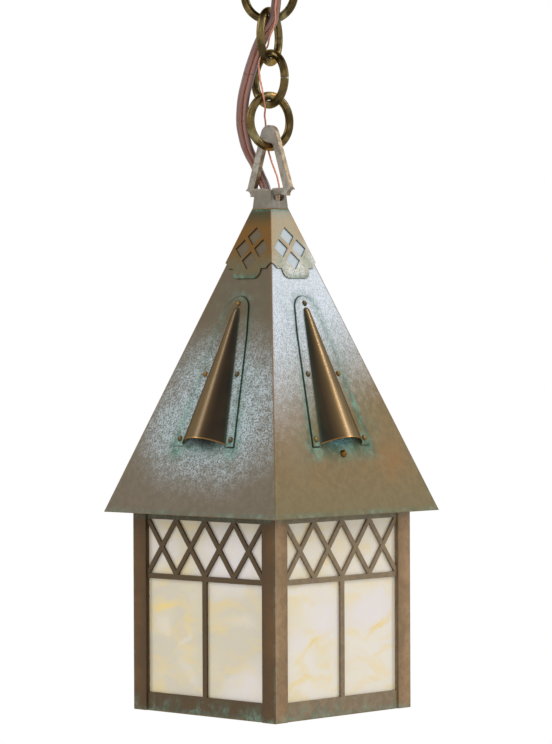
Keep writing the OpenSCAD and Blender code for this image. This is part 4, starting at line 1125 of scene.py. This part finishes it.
def seam_loop(half, height, corner, rows):
    """Square path with round corners, at a height: straight runs joined by quarter circles."""
    quarter = np.linspace(0, math.pi / 2, rows)
    arcs = [
        np.stack([
            sx * (half - corner) + corner * np.cos(quarter + turn),
            sy * (half - corner) + corner * np.sin(quarter + turn),
        ], -1)
        for sx, sy, turn in ((1, 1, 0), (-1, 1, math.pi / 2), (-1, -1, math.pi), (1, -1, 1.5 * math.pi))
    ]
    flat = np.concatenate(arcs)
    return np.concatenate([flat, np.full((len(flat), 1), height)], -1)


class LANTERN_OT_seams(bpy.types.Operator):
    """Lays the thin solder seam round the foot of the neck."""

    bl_idname = "lantern.seams"
    bl_label = "Solder seams"

    def execute(self, context):
        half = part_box("neck")[1].x
        proud, lift, corner, thick = 0.0001, 0.0003, 0.0006, 0.0004
        path = seam_loop(half + proud, ROOF_TOP + lift, corner, 5)
        t = unit(np.roll(path, -1, 0) - np.roll(path, 1, 0))
        a = np.cross(t, UP)
        angle = np.linspace(0, 2 * math.pi, 10, endpoint=False)[None, :, None]
        grid = path[:, None] + thick * (np.cos(angle) * a[:, None] + np.sin(angle) * UP)
        seam = lay_grid("neck_solder_seam", grid[:, ::-1], wrap_rows=True)
        dress(plain_metal("solder", paint(150, 112, 64), paint(110, 84, 52), 0.4, 0.9, 2.0, 0.3), seam)
        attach(seam, "lantern")
        return {"FINISHED"}


class LANTERN_OT_stage(bpy.types.Operator):
    """Sets the pale floor, the even world light and the three soft lamps."""

    bl_idname = "lantern.stage"
    bl_label = "Studio"

    def execute(self, context):
        view = context.scene.lantern_view
        world = bpy.data.worlds.new("pale_room")
        context.scene.world = world
        world.use_nodes = True
        w = Wiring(world.node_tree)
        w.feed(world.node_tree.nodes["Background"].inputs, {
            "Strength": w.pick(w.direct(), view.world_light, 1.0), "Color": (1, 1, 1),
        })

        grid = np.array([[-3, -3], [3, -3], [3, 3], [-3, 3]], float)
        mesh = bpy.data.meshes.new("pale_floor")
        verts = np.concatenate([grid, np.full((4, 1), FOOT - FLOOR_DROP)], 1)
        mesh.from_pydata(verts.tolist(), [], [(0, 1, 2, 3)])
        floor = place_object("pale_floor", mesh)
        w = Finish("pale_floor")
        mesh.materials.append(w.shade(colour=(0.8, 0.8, 0.8), rough=0.9))
        glow = w.put("ShaderNodeEmission", {"Color": (1, 1, 1), "Strength": 1.0}).outputs[0]
        blend = w.put("ShaderNodeMixShader", {0: w.direct(), 1: w.shader.outputs[0], 2: glow}).outputs[0]
        # From below the floor is clear, so that the open underside can be looked at
        from_camera = w.put("ShaderNodeLightPath").outputs["Is Camera Ray"]
        below = w.both(w.put("ShaderNodeNewGeometry").outputs["Backfacing"], from_camera)
        clear = w.put("ShaderNodeBsdfTransparent").outputs[0]
        blend = w.put("ShaderNodeMixShader", {0: below, 1: blend, 2: clear}).outputs[0]
        w.feed(w.tree.nodes["Material Output"].inputs, {"Surface": blend})

        lamps = (
            ("left_lamp", (-1.14, -1.03, 0.8), 0.34, 1.0, view.left_light),
            ("right_lamp", (1.01, 1.21, 0.74), 0.2, 1.1, view.right_light),
            ("front_lamp", (1.6, -2.0, 0.9), 1.4, 1.0, 4.0),
        )
        for name, place, wide, tall, power in lamps:
            light = bpy.data.lights.new(name, "AREA")
            light.shape = "RECTANGLE"
            light.size, light.size_y, light.energy = wide, tall, power
            z_axis = unit(np.array(place) - [0, 0, FOOT + 0.2])
            x_axis = unit(np.cross(UP, z_axis))
            aim(place_object(name, light), x_axis, np.cross(z_axis, x_axis), z_axis, place)
        return {"FINISHED"}


class LANTERN_PT_panel(bpy.types.Panel):
    """Lists the lantern's pieces and settings."""

    bl_label = "Pendant Lantern"
    bl_idname = "LANTERN_PT_panel"
    bl_space_type = "VIEW_3D"
    bl_region_type = "UI"
    bl_category = "Lantern"

    def draw(self, context):
        for group in SETTINGS:
            box = self.layout.box()
            settings = getattr(context.scene, group)
            for key in settings.bl_rna.properties.keys():
                if key not in ("rna_type", "name"):
                    box.prop(settings, key)
        for operator in PIECES:
            self.layout.operator(operator.bl_idname)


SETTINGS = {
    "lantern_view": LanternViewSettings,
    "lantern_metal": LanternMetalSettings,
    "lantern_glass": LanternGlassSettings,
    "lantern_cord": LanternCordSettings,
    "lantern_ring": LanternRingSettings,
}
PIECES = (
    LANTERN_OT_camera, LANTERN_OT_cords, LANTERN_OT_rings, LANTERN_OT_bail, LANTERN_OT_roof, LANTERN_OT_body,
    LANTERN_OT_glass, LANTERN_OT_lamp, LANTERN_OT_ceiling, LANTERN_OT_seams, LANTERN_OT_stage,
)


def register():
    for cls in (*SETTINGS.values(), *PIECES, LANTERN_PT_panel):
        bpy.utils.register_class(cls)
    for name, cls in SETTINGS.items():
        setattr(bpy.types.Scene, name, PointerProperty(type=cls))


def unregister():
    for name in SETTINGS:
        delattr(bpy.types.Scene, name)
    for cls in (LANTERN_PT_panel, *reversed(PIECES), *reversed(SETTINGS.values())):
        bpy.utils.unregister_class(cls)


def main():
    register()
    for piece in PIECES:
        group, name = piece.bl_idname.split(".")
        getattr(getattr(bpy.ops, group), name)()
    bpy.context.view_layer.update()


if __name__ == "__main__":
    main()
